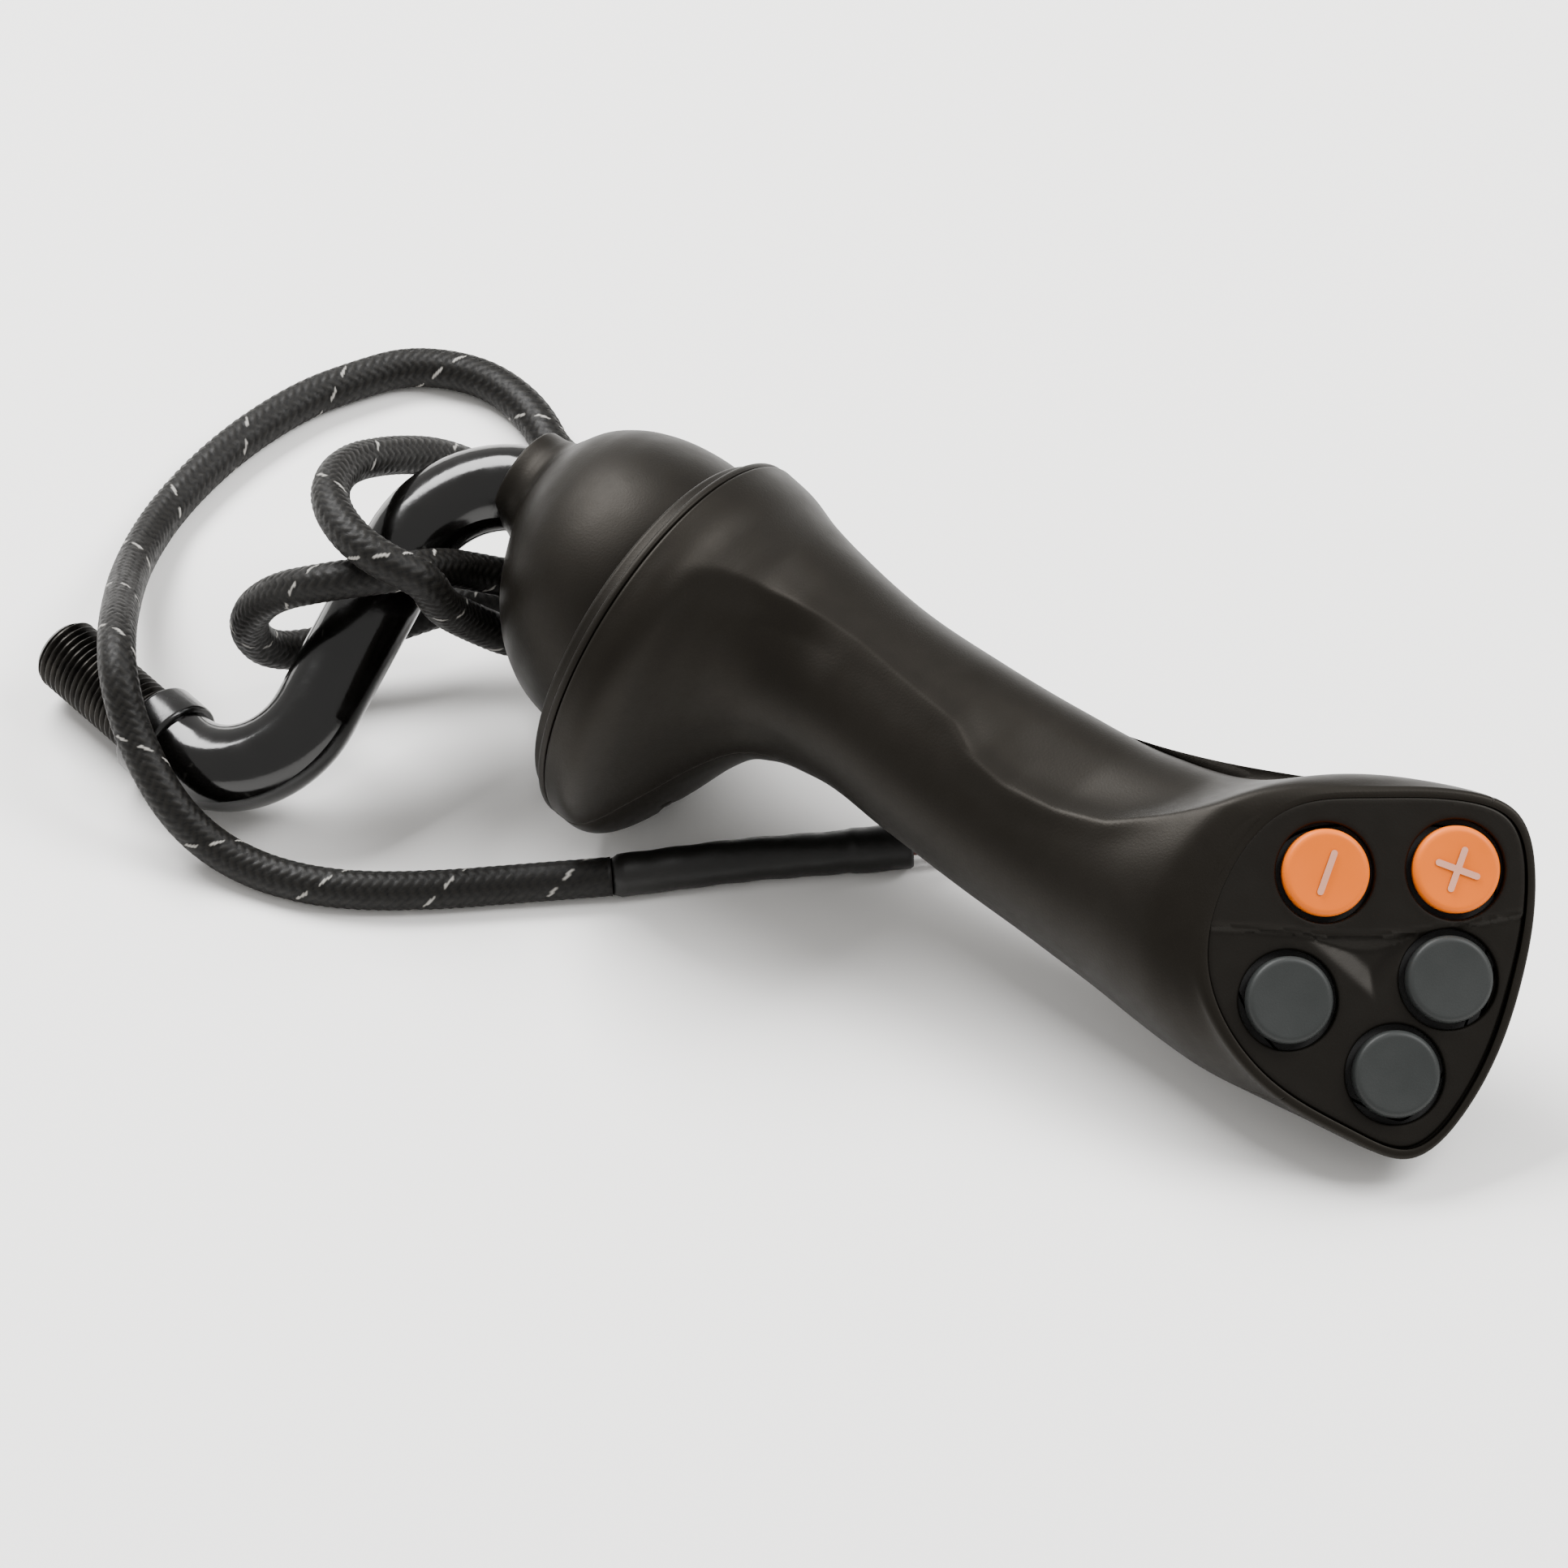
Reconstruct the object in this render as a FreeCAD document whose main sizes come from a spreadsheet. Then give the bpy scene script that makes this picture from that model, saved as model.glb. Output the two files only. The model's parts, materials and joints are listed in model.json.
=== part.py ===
"""Control-lever grip: two-shell grip with a five-button face, on an S-bent lever with a threaded stud.

The grip frame has X along the neck towards the head, Y across it towards the thumb side and Z out of
the front. GRIP places that frame in the part's own frame, where +Z is up and the part lies on Z = 0.
"""

import FreeCAD, Part
import math
import os

import Sketcher
from FreeCAD import Placement, Rotation, Vector

os.makedirs("parts", exist_ok=True)
doc = FreeCAD.newDocument("control_lever_grip")

# ---------------------------------------------------------------- driving dimensions, mm and degrees

DIMENSIONS = {
    "grip_x": -18.9,
    "grip_y": 26.9,
    "grip_height": 32.4,
    "grip_yaw": -37.5,
    "grip_nose_down": 7.1,
    "grip_roll": 30.5,
    "wall": 2.6,
    "rim_width": 1.8,
    "flange_radius": 33.0,
    "flange_centre": 1.0,
    "flange_thickness": 2.2,
    "boss_radius": 22.0,
    "boss_height": 3.4,
    "boss_bore": 19.3,
    "cap_centre": 4.8,
    "cap_wall": 2.4,
    "lever_axis": 10.3,
    "lever_radius": 7.0,
    "lever_depth": 46.0,
    "upper_bend": 18.0,
    "lower_bend": 15.0,
    "collar_radius": 8.0,
    "collar_length": 6.5,
    "stud_radius": 6.0,
    "stud_length": 23.0,
    "stud_chamfer": 1.0,
    "socket_radius": 11.0,
    "socket_length": 50.0,
    "grub_radius": 2.5,
    "grub_length": 3.6,
    "face_x": 130.6,
    "face_y": 18.0,
    "face_z": 3.7,
    "face_tilt": 27.7,
    "face_turn": 35.65,
    "face_thickness": 2.5,
    "hole_radius": 8.0,
    "button_radius": 7.0,
    "button_height": 3.4,
    "button_proud": 1.9,
    "button_round": 0.9,
    "plunger_radius": 3.0,
    "plunger_length": 1.9,
    "tip_radius": 1.8,
    "tip_length": 2.3,
    "mat_thickness": 0.6,
    "mat_hole": 3.5,
    "switch_width": 7.4,
    "switch_height": 2.3,
    "switch_bore": 2.2,
    "board_thickness": 1.4,
    "board_depth": 7.2,
    "mark_length": 7.6,
    "mark_width": 1.05,
    "mark_height": 0.12,
    "cable_radius": 3.1,
    "shrink_radius": 3.6,
    "harness_radius": 1.0,
    "lead_radius": 0.65,
    "ferrule_radius": 0.85,
    "ferrule_length": 6.0,
}

sheet = doc.addObject("Spreadsheet::Sheet", "Dimensions")
for row, (alias, value) in enumerate(DIMENSIONS.items(), start=1):
    sheet.set(f"A{row}", alias)
    sheet.set(f"B{row}", str(value))
    sheet.setAlias(f"B{row}", alias)
doc.recompute()


def dim(alias):
    """The sheet's value of one driving dimension."""
    return float(getattr(sheet, alias))


def bind(thing, prop, expression):
    """Bind a property to an expression in which the sheet's aliases are written as #alias."""
    thing.setExpression(prop, expression.replace("#", "Dimensions."))


# ---------------------------------------------------------------- frames

GRIP = Placement(
    Vector(dim("grip_x"), dim("grip_y"), dim("grip_height")),
    Rotation(Vector(0, 0, 1), dim("grip_yaw"))
    * Rotation(Vector(0, 1, 0), dim("grip_nose_down"))
    * Rotation(Vector(1, 0, 0), dim("grip_roll")),
)

# Local Z of ALONG points down the neck towards the lever (-X of the grip), local X to its front (+Z).
ALONG = Rotation(Vector(0, 0, 1), Vector(0, 1, 0), Vector(-1, 0, 0), "ZYX")

# The face frame has X and Y in the face plate and Z out of it.
FACE = Placement(
    Vector(dim("face_x"), dim("face_y"), dim("face_z")),
    Rotation(Vector(0, 1, 0), dim("face_tilt")) * Rotation(Vector(0, 0, 1), dim("face_turn")),
)


def on_grip(x, y, z, rotation=None):
    """A placement in the part's frame for a point and a turn given in the grip frame."""
    return GRIP * Placement(Vector(x, y, z), rotation or Rotation())


def on_face(x, y, z, rotation=None):
    """A placement in the part's frame for a point and a turn given in the face frame."""
    return GRIP * FACE * Placement(Vector(x, y, z), rotation or Rotation())


# ---------------------------------------------------------------- general builders

NODES = []


def node(thing, label, placement=None):
    """Name a finished sub-part and give it its place."""
    thing.Label = label
    if placement is not None:
        thing.Placement = placement
    NODES.append(thing)
    return thing


def feature(label, shape, placement=None):
    """A sub-part whose shape is worked out in code."""
    thing = doc.addObject("Part::Feature", label)
    thing.Shape = shape
    return node(thing, label, placement)


def new_body(name):
    return doc.addObject("PartDesign::Body", name)


def plane_of(body, role):
    return next(p for p in body.Origin.OriginFeatures if p.Role == role)


def new_sketch(body, name, role="XY_Plane", offset=0.0):
    sketch = body.newObject("Sketcher::SketchObject", name)
    sketch.AttachmentSupport = [(plane_of(body, role), "")]
    sketch.MapMode = "FlatFace"
    sketch.AttachmentOffset = Placement(Vector(0, 0, offset), Rotation())
    return sketch


def add_circle(sketch, x, y, expression):
    """A circle at (x, y) with its radius bound to an expression."""
    index = sketch.addGeometry(Part.Circle(Vector(x, y, 0), Vector(0, 0, 1), 1.0), False)
    sketch.addConstraint(Sketcher.Constraint("DistanceX", index, 3, x))
    sketch.addConstraint(Sketcher.Constraint("DistanceY", index, 3, y))
    radius = sketch.addConstraint(Sketcher.Constraint("Radius", index, 1.0))
    bind(sketch, f"Constraints[{radius}]", expression)
    return index


def add_rectangle(sketch, width, height):
    """A rectangle centred on the origin, with its two sizes bound to expressions."""
    corners = [Vector(-1, -1, 0), Vector(1, -1, 0), Vector(1, 1, 0), Vector(-1, 1, 0)]
    for i in range(4):
        sketch.addGeometry(Part.LineSegment(corners[i], corners[(i + 1) % 4]), False)
    for i in range(4):
        sketch.addConstraint(Sketcher.Constraint("Coincident", i, 2, (i + 1) % 4, 1))
    for i in (0, 2):
        sketch.addConstraint(Sketcher.Constraint("Horizontal", i))
    for i in (1, 3):
        sketch.addConstraint(Sketcher.Constraint("Vertical", i))
    sketch.addConstraint(Sketcher.Constraint("Symmetric", 0, 1, 2, 1, -1, 1))
    across = sketch.addConstraint(Sketcher.Constraint("DistanceX", 0, 1, 0, 2, 2.0))
    bind(sketch, f"Constraints[{across}]", width)
    up = sketch.addConstraint(Sketcher.Constraint("DistanceY", 1, 1, 1, 2, 2.0))
    bind(sketch, f"Constraints[{up}]", height)


def add_pad(body, sketch, name, length):
    pad = body.newObject("PartDesign::Pad", name)
    pad.Profile = sketch
    bind(pad, "Length", length)
    return pad


def add_pocket(body, sketch, name, length):
    """A pocket from a sketch on a pad's far side, cut back towards the sketch plane's -Z."""
    pocket = body.newObject("PartDesign::Pocket", name)
    pocket.Profile = sketch
    bind(pocket, "Length", length)
    return pocket


def round_edges(body, name, kind, edges, prop, expression):
    """A fillet or chamfer on the body's tip, on the edges that a test picks."""
    doc.recompute()
    base = body.Tip
    names = [f"Edge{i + 1}" for i, edge in enumerate(base.Shape.Edges) if edges(edge)]
    dress = body.newObject(kind, name)
    dress.Base = (base, names)
    bind(dress, prop, expression)
    return dress


def circle_at(height, radius=None):
    """A test for full circular edges at a height along the body's Z, in the body's own frame."""

    def test(edge):
        curve = edge.Curve
        if not isinstance(curve, Part.Circle) or not edge.isClosed():
            return False
        at_height = abs(curve.Center.z - height) < 1e-4
        return at_height and (radius is None or abs(curve.Radius - radius) < 1e-4)

    return test


def stepped_pin(name, steps):
    """A body of stacked round pads: each step is (radius expression, length expression)."""
    body = new_body(name)
    base = 0.0
    for i, (radius, length) in enumerate(steps):
        sketch = new_sketch(body, f"{name}_outline_{i}", "XY_Plane", base)
        add_circle(sketch, 0, 0, radius)
        pad = add_pad(body, sketch, f"{name}_pad_{i}", length)
        doc.recompute()
        base += float(pad.Length)
    return body


def smooth_loop(points):
    """A closed smooth curve through points in order."""
    curve = Part.BSplineCurve()
    curve.interpolate(Points=points, PeriodicFlag=True)
    return Part.Wire([curve.toShape()])


# ---------------------------------------------------------------- outline of the button face

FACE_OUTLINE = [
    (-26.5, 0.5),
    (-23.5, 14.8),
    (-13.1, 26.0),
    (0.0, 27.6),
    (14.0, 27.2),
    (22.2, 24.2),
    (24.9, 14.0),
    (22.7, -0.5),
    (14.3, -20.9),
    (5.6, -28.2),
    (-2.6, -25.5),
    (-16.4, -17.2),
]

# Button centres in the face frame, with the kind of cap that sits there.
BUTTONS = {
    "minus": (-7.5, 15.6),
    "plus": (13.6, 16.1),
    "left": (-13.4, -4.7),
    "right": (12.5, -1.4),
    "lower": (3.9, -16.5),
}


def face_loop(growth, height=0.0):
    """The face outline, grown by a distance square to itself, at a height in the face frame."""
    outline = smooth_loop([Vector(x, y, 0) for x, y in FACE_OUTLINE])
    curve = outline.Edges[0]
    count = 48
    start, end = curve.ParameterRange
    points = []
    for i in range(count):
        at = start + (end - start) * i / count
        tangent = curve.tangentAt(at)
        outward = Vector(-tangent.y, tangent.x, 0)
        points.append(curve.valueAt(at) + outward * growth + Vector(0, 0, height))
    return smooth_loop(points)


def face_plate(growth, top, thickness):
    """A flat plate with the face outline, from its top down."""
    return Part.Face(face_loop(growth, top)).extrude(Vector(0, 0, -thickness))


# The face outline's widest points lie this far to the thumb side of the face centre.
FACE_SIDE_SHIFT = 4.5


def make_face_radii():
    """A function for the outline's polar distance, as seen in the grip's last section."""
    curve = face_loop(0.0).Edges[0]
    turn = math.radians(dim("face_turn"))
    start, end = curve.ParameterRange
    count = 720
    samples = []
    for i in range(count):
        point = curve.valueAt(start + (end - start) * i / count)
        along = point.x * math.cos(turn) - point.y * math.sin(turn)
        across = point.x * math.sin(turn) + point.y * math.cos(turn) - FACE_SIDE_SHIFT
        angle = math.atan2(-along, across) % (2 * math.pi)
        samples.append((angle, math.hypot(along, across)))
    samples.sort()

    def radius(angle):
        angle %= 2 * math.pi
        after = next((i for i, s in enumerate(samples) if s[0] > angle), 0)
        low, high = samples[after - 1], samples[after]
        span = (high[0] - low[0]) % (2 * math.pi) or 1.0
        share = ((angle - low[0]) % (2 * math.pi)) / span
        return low[1] + (high[1] - low[1]) * share

    return radius


face_radius = make_face_radii()


# ---------------------------------------------------------------- grip sections

# Each station of the grip: front point (x, z), rear point (x, z), share of the depth behind the
# parting line, centre y, half width, squareness of the section, and share of the face outline in it.
STATIONS = [
    ((0.0, 33.0), (0.0, -33.0), 0.5, 1.0, 33.0, 2.0, 0.0),
    ((6.0, 31.8), (6.0, -31.3), 0.5, 1.1, 31.1, 2.0, 0.0),
    ((11.0, 27.0), (11.0, -27.2), 0.5, 3.2, 28.0, 2.05, 0.0),
    ((15.0, 22.0), (15.0, -23.0), 0.5, 6.5, 23.8, 2.1, 0.0),
    ((19.0, 18.6), (19.0, -19.6), 0.5, 9.6, 19.9, 2.15, 0.0),
    ((24.0, 16.8), (24.0, -17.2), 0.5, 11.3, 17.3, 2.2, 0.0),
    ((32.0, 16.0), (32.0, -16.0), 0.5, 11.6, 16.0, 2.25, 0.0),
    ((48.0, 15.5), (48.0, -15.8), 0.5, 11.0, 16.4, 2.25, 0.0),
    ((64.0, 15.0), (64.0, -16.3), 0.5, 10.8, 17.3, 2.25, 0.0),
    ((79.0, 15.2), (82.0, -17.5), 0.5, 11.7, 18.6, 2.25, 0.03),
    ((91.0, 16.0), (103.0, -18.6), 0.5, 14.3, 21.3, 2.25, 0.15),
    ((98.5, 16.8), (123.0, -18.6), 0.48, 18.0, 25.2, 2.25, 0.4),
    ((102.8, 17.2), (138.5, -16.2), 0.46, 21.1, 28.3, 2.25, 0.75),
    ((104.6, 17.3), (148.6, -12.0), 0.46, 22.3, 29.5, 2.25, 0.95),
    ((105.0, 17.1), (152.9, -8.0), 0.46, 22.5, 29.8, 2.25, 1.0),
]
HALF_POINTS = 13


def section_point(station, angle, inset):
    """A point of one section, at an angle that starts on the thumb side and turns to the front."""
    front, rear, share, centre_y, half_width, squareness, faced = station
    reach = math.hypot(front[0] - rear[0], front[1] - rear[1])
    forward = ((front[0] - rear[0]) / reach, (front[1] - rear[1]) / reach)
    depth = reach * (1 - share) if math.sin(angle) >= 0 else reach * share
    wide = abs(math.cos(angle) / half_width) ** squareness
    deep = abs(math.sin(angle) / depth) ** squareness
    oval = (wide + deep) ** (-1 / squareness)
    faced_radius = face_radius(angle) + dim("rim_width")
    radius = oval * (1 - faced) + faced_radius * faced - inset
    middle_x = rear[0] + (front[0] - rear[0]) * share
    middle_z = rear[1] + (front[1] - rear[1]) * share
    ahead = radius * math.sin(angle)
    across = radius * math.cos(angle)
    return Vector(middle_x + forward[0] * ahead, centre_y + across, middle_z + forward[1] * ahead)


def middle(station):
    """The parting line's (x, z) at a station."""
    front, rear, share = station[:3]
    return rear[0] + (front[0] - rear[0]) * share, rear[1] + (front[1] - rear[1]) * share


def section(station, inset):
    """A whole section: a front arc and a rear arc that meet at the two parting points."""
    arcs = []
    for first in (0.0, math.pi):
        angles = [first + math.pi * i / (HALF_POINTS - 1) for i in range(HALF_POINTS)]
        curve = Part.BSplineCurve()
        curve.interpolate([section_point(station, angle, inset) for angle in angles])
        arcs.append(curve.toShape())
    return Part.Wire(arcs)


def shifted(station, along_x, along_z):
    """A station moved along the grip's X and Z."""
    front, rear = station[:2]
    moved_front = (front[0] + along_x, front[1] + along_z)
    moved_rear = (rear[0] + along_x, rear[1] + along_z)
    return (moved_front, moved_rear, *station[2:])


def grip_outside():
    return Part.makeLoft([section(station, 0.0) for station in STATIONS], True, False)


def grip_cavity():
    """The hollow inside both shells, open at the flange and at the face."""
    wall = dim("wall")
    tilt = math.radians(dim("face_tilt"))
    ledge = dim("rim_width") + wall
    base = shifted(STATIONS[0], -2.0, 0.0)
    mouth = shifted(STATIONS[-1], math.sin(tilt), math.cos(tilt))
    sections = [section(base, wall)]
    sections += [section(station, wall) for station in STATIONS[:-2]]
    sections += [section(STATIONS[-2], wall + 0.8), section(mouth, ledge)]
    return Part.makeLoft(sections, True, False)


# Where the shell screws stand, in the grip frame: x, y, and the height of the seat of the head.
SHELL_SCREWS = [(9.0, 28.2, -5.5), (8.0, -18.5, -14.0), (64.0, 20.5, -9.0), (86.0, 3.0, -10.0)]
PILLAR_RADIUS = 3.5
SCREW_HEAD_RADIUS = 2.4
SCREW_HEAD_HEIGHT = 1.8
SCREW_SHANK_RADIUS = 1.25
INSERT_RADIUS = 2.1
INSERT_LENGTH = 5.0
INSERT_TOP = 6.5


def front_of_parting():
    """Everything in front of the parting line, which runs straight across the grip."""
    half = 60.0
    line = [middle(station) for station in STATIONS]
    line = [(-3.0, 0.0), *line, (line[-1][0] + 2.0, line[-1][1] + 4.0)]
    curve = Part.BSplineCurve()
    curve.interpolate([Vector(x, -half, z) for x, z in line])
    edge = curve.toShape()
    far = [Vector(line[-1][0] + 6, -half, 80), Vector(line[0][0], -half, 80)]
    corners = [curve.EndPoint, *far, curve.StartPoint]
    sides = [Part.makeLine(a, b) for a, b in zip(corners, corners[1:])]
    return Part.Face(Part.Wire([edge, *sides])).extrude(Vector(0, 2 * half, 0))


def face_recess():
    """The space that the face plate drops into, with the window inside its ledge."""
    clearance = 0.15
    above = 4.0
    recess = face_plate(clearance, above, above + dim("face_thickness") + clearance)
    window = face_plate(-dim("wall"), above, above + 6.0)
    both = recess.fuse(window)
    both.Placement = FACE
    return both


def largest_solid(shape):
    return max(shape.Solids, key=lambda solid: solid.Volume)


def build_shells():
    """Front and rear shells, split along the two sides, hollow, with pillars for their screws."""
    outside = grip_outside()
    pillars = [
        Part.makeCylinder(PILLAR_RADIUS, 80, Vector(x, y, -40)).common(outside)
        for x, y, seat in SHELL_SCREWS
    ]
    shell = outside.cut(grip_cavity()).cut(face_recess())
    shell = shell.multiFuse(pillars)
    front_space = front_of_parting()
    rear = shell.cut(front_space)
    front = shell.common(front_space)
    for x, y, seat in SHELL_SCREWS:
        well = Part.makeCylinder(SCREW_HEAD_RADIUS + 0.3, 60, Vector(x, y, seat - 60))
        shank = Part.makeCylinder(SCREW_SHANK_RADIUS + 0.15, 60, Vector(x, y, seat - 1))
        rear = rear.cut(well).cut(shank)
        pocket = Part.makeCylinder(INSERT_RADIUS + 0.02, INSERT_TOP + 8, Vector(x, y, -8))
        front = front.cut(pocket)
    feature("front_shell", largest_solid(front), GRIP)
    feature("rear_shell", largest_solid(rear), GRIP)


# ---------------------------------------------------------------- shell screws and inserts

def lobed_screw(head_radius, head_height, shank_radius, length):
    """A pan-head screw along +Z, head first, with a hexagonal recess in the head."""
    head = Part.makeCylinder(head_radius, head_height)
    rim = [edge for edge in head.Edges if abs(edge.BoundBox.ZMax) < 1e-6]
    head = head.makeFillet(head_height * 0.3, rim[:1])
    shank = Part.makeCylinder(shank_radius, length + 0.1, Vector(0, 0, head_height - 0.1))
    recess = Part.Face(Part.makePolygon(hexagon(head_radius * 0.5))).extrude(Vector(0, 0, 1.1))
    return head.fuse(shank).cut(recess)


def hexagon(radius):
    turns = [math.radians(60 * i) for i in range(7)]
    return [Vector(radius * math.cos(turn), radius * math.sin(turn), 0) for turn in turns]


def build_shell_screws():
    """Four screws that draw the shells together, and the threaded inserts that they hold in."""
    screws = []
    inserts = []
    for x, y, seat in SHELL_SCREWS:
        length = INSERT_TOP - 0.5 - seat
        screw = lobed_screw(SCREW_HEAD_RADIUS, SCREW_HEAD_HEIGHT, SCREW_SHANK_RADIUS, length)
        screw.translate(Vector(x, y, seat - SCREW_HEAD_HEIGHT))
        screws.append(screw)
        low = INSERT_TOP - INSERT_LENGTH
        outside = Part.makeCylinder(INSERT_RADIUS, INSERT_LENGTH, Vector(x, y, low))
        inside = Part.makeCylinder(SCREW_SHANK_RADIUS + 0.02, INSERT_LENGTH + 2, Vector(x, y, low - 1))
        inserts.append(outside.cut(inside))
    feature("shell_screws", Part.makeCompound(screws), GRIP)
    feature("threaded_inserts", Part.makeCompound(inserts), GRIP)


# ---------------------------------------------------------------- base of the grip

def build_flange_ring():
    """The round flange under the palm, with the eccentric boss that centres the base cap."""
    body = new_body("flange")
    disc = new_sketch(body, "flange_disc")
    add_circle(disc, 0, 0, "#flange_radius")
    add_pad(body, disc, "disc_pad", "#flange_thickness")
    top = dim("flange_thickness")
    boss = new_sketch(body, "boss_circle", "XY_Plane", top)
    add_circle(boss, 0, dim("cap_centre") - dim("flange_centre"), "#boss_radius")
    add_pad(body, boss, "boss_pad", "#boss_height")
    bore = new_sketch(body, "bore_circle", "XY_Plane", top + dim("boss_height"))
    add_circle(bore, 0, dim("cap_centre") - dim("flange_centre"), "#boss_bore")
    add_pocket(body, bore, "boss_pocket", "#flange_thickness + #boss_height")
    round_edges(
        body, "lip_round", "PartDesign::Fillet", circle_at(top, dim("flange_radius")),
        "Radius", "#flange_thickness * 0.45",
    )
    node(body, "flange_ring", on_grip(-0.15, dim("flange_centre"), 0, ALONG))


# Base cap sections: distance down the neck axis, centre y and outer radius.
CAP_SECTIONS = [
    (-3.6, 4.8, 24.6),
    (-6.0, 4.9, 25.0),
    (-12.0, 5.2, 24.8),
    (-18.0, 5.9, 23.1),
    (-23.0, 6.9, 20.2),
    (-27.0, 8.1, 16.3),
    (-29.6, 9.1, 12.4),
    (-31.0, 9.8, 10.2),
    (-33.0, 10.2, 9.0),
    (-36.5, 10.3, 8.6),
]


# Clearance between the lever and the base cap.
LEVER_GAP = 0.3


def cap_circle(x, y, radius):
    """A round section of the base cap, starting from the same side as all the others."""
    circle = Part.Circle(Vector(x, y, 0), Vector(-1, 0, 0), radius)
    return Part.Wire([circle.toShape()])


def build_base_cap():
    """The domed cap below the flange, hollow, with a short collar round the lever."""
    wall = dim("cap_wall")
    outer = Part.makeLoft([cap_circle(*section) for section in CAP_SECTIONS], True, False)
    hollow = [(x, y, radius - wall) for x, y, radius in CAP_SECTIONS[:7]]
    hollow[0] = (-3.0, hollow[0][1], hollow[0][2])
    inner = Part.makeLoft([cap_circle(*section) for section in hollow], True, False)
    swept = lever_solid(dim("lever_radius") + LEVER_GAP)
    swept.transformShape(GRIP.inverse().toMatrix())
    shell = outer.cut(inner).cut(swept).cut(outlet_bore())
    feature("base_cap", largest_solid(shell), GRIP)


# ---------------------------------------------------------------- lever

# Lever corners: the upper one on the neck axis, then the lower one and the stud's direction on the
# part's own frame, where the lower bend and the collar lie on the ground.
UPPER_CORNER = GRIP.multVec(Vector(-48.7, dim("lever_axis"), 0))
LOWER_CORNER = Vector(-84.4, 12.7, 8.0)
STUD_DIRECTION = Vector(-0.636, 0.771, 0.0).normalize()
COLLAR_START = 20.0


def tangent_arc(before, corner, after, radius):
    """The arc of a given radius that rounds a corner, as its start, middle and end points."""
    back = (before - corner).normalize()
    ahead = (after - corner).normalize()
    half = back.getAngle(ahead) / 2
    reach = radius / math.tan(half)
    to_centre = (back + ahead).normalize()
    centre = corner + to_centre * (radius / math.sin(half))
    return corner + back * reach, centre - to_centre * radius, corner + ahead * reach


def lever_path():
    """The lever's centreline: the neck, the two bends and the straight that carries the collar."""
    top = GRIP.multVec(Vector(dim("lever_depth"), dim("lever_axis"), 0))
    end = LOWER_CORNER + STUD_DIRECTION * COLLAR_START
    upper = tangent_arc(top, UPPER_CORNER, LOWER_CORNER, dim("upper_bend"))
    lower = tangent_arc(UPPER_CORNER, LOWER_CORNER, end, dim("lower_bend"))
    edges = [
        Part.makeLine(top, upper[0]),
        Part.Arc(*upper).toShape(),
        Part.makeLine(upper[2], lower[0]),
        Part.Arc(*lower).toShape(),
        Part.makeLine(lower[2], end),
    ]
    return Part.Wire(edges)


def sweep_round(path, radius):
    """A round bar of a given radius along a smooth path."""
    start = path.Edges[0]
    direction = start.tangentAt(start.FirstParameter)
    profile = Part.Wire([Part.Circle(start.valueAt(start.FirstParameter), direction, radius).toShape()])
    return path.makePipeShell([profile], True, True)


def lever_solid(radius):
    return sweep_round(lever_path(), radius)


def turned_to(direction):
    return Rotation(Vector(0, 0, 1), direction)


def build_lever():
    """The bent lever, its collar and the threaded stud that screws it to its machine."""
    feature("lever_rod", lever_solid(dim("lever_radius")))
    collar = stepped_pin("collar", [("#collar_radius", "#collar_length")])
    ends = lambda edge: circle_at(0.0)(edge) or circle_at(dim("collar_length"))(edge)
    round_edges(collar, "collar_round", "PartDesign::Fillet", ends, "Radius", "#collar_length * 0.15")
    collar_at = LOWER_CORNER + STUD_DIRECTION * COLLAR_START
    node(collar, "stud_collar", Placement(collar_at, turned_to(STUD_DIRECTION)))
    stud = stepped_pin("stud", [("#stud_radius", "#stud_length")])
    tip = circle_at(dim("stud_length"))
    round_edges(stud, "stud_point", "PartDesign::Chamfer", tip, "Size", "#stud_chamfer")
    stud_at = collar_at + STUD_DIRECTION * dim("collar_length")
    node(stud, "threaded_stud", Placement(stud_at, turned_to(STUD_DIRECTION)))


# ---------------------------------------------------------------- lever socket inside the neck

GRUB_STATIONS = [8.0, 34.0]


def build_socket():
    """The metal socket in the neck that takes the lever's top, and the grub screws that lock it."""
    socket = new_body("socket")
    ring = new_sketch(socket, "socket_ring")
    add_circle(ring, 0, 0, "#socket_radius")
    add_circle(ring, 0, 0, "#lever_radius + 0.05")
    add_pad(socket, ring, "socket_pad", "#socket_length")
    doc.recompute()
    top = dim("lever_depth") + 1.0
    bores = []
    for x in GRUB_STATIONS:
        bores.append(Part.makeCylinder(
            dim("grub_radius"), 12, Vector(0, 0, top - x), Vector(-1, 0, 0)
        ))
    shape = socket.Shape.cut(bores[0].multiFuse(bores[1:]))
    socket.Visibility = False
    feature("lever_socket", shape, on_grip(top, dim("lever_axis"), 0, ALONG))
    screws = []
    for x in GRUB_STATIONS:
        grub = Part.makeCylinder(dim("grub_radius") - 0.02, dim("grub_length"))
        drive = Part.Face(Part.makePolygon(hexagon(1.25))).extrude(Vector(0, 0, 1.6))
        drive.translate(Vector(0, 0, dim("grub_length") - 1.6))
        grub = grub.cut(drive)
        grub.Placement = Placement(
            Vector(x, dim("lever_axis"), -dim("lever_radius") - 0.06), Rotation(Vector(1, 0, 0), 180)
        )
        screws.append(grub)
    feature("clamp_screws", Part.makeCompound(screws), GRIP)


# ---------------------------------------------------------------- button face

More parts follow.
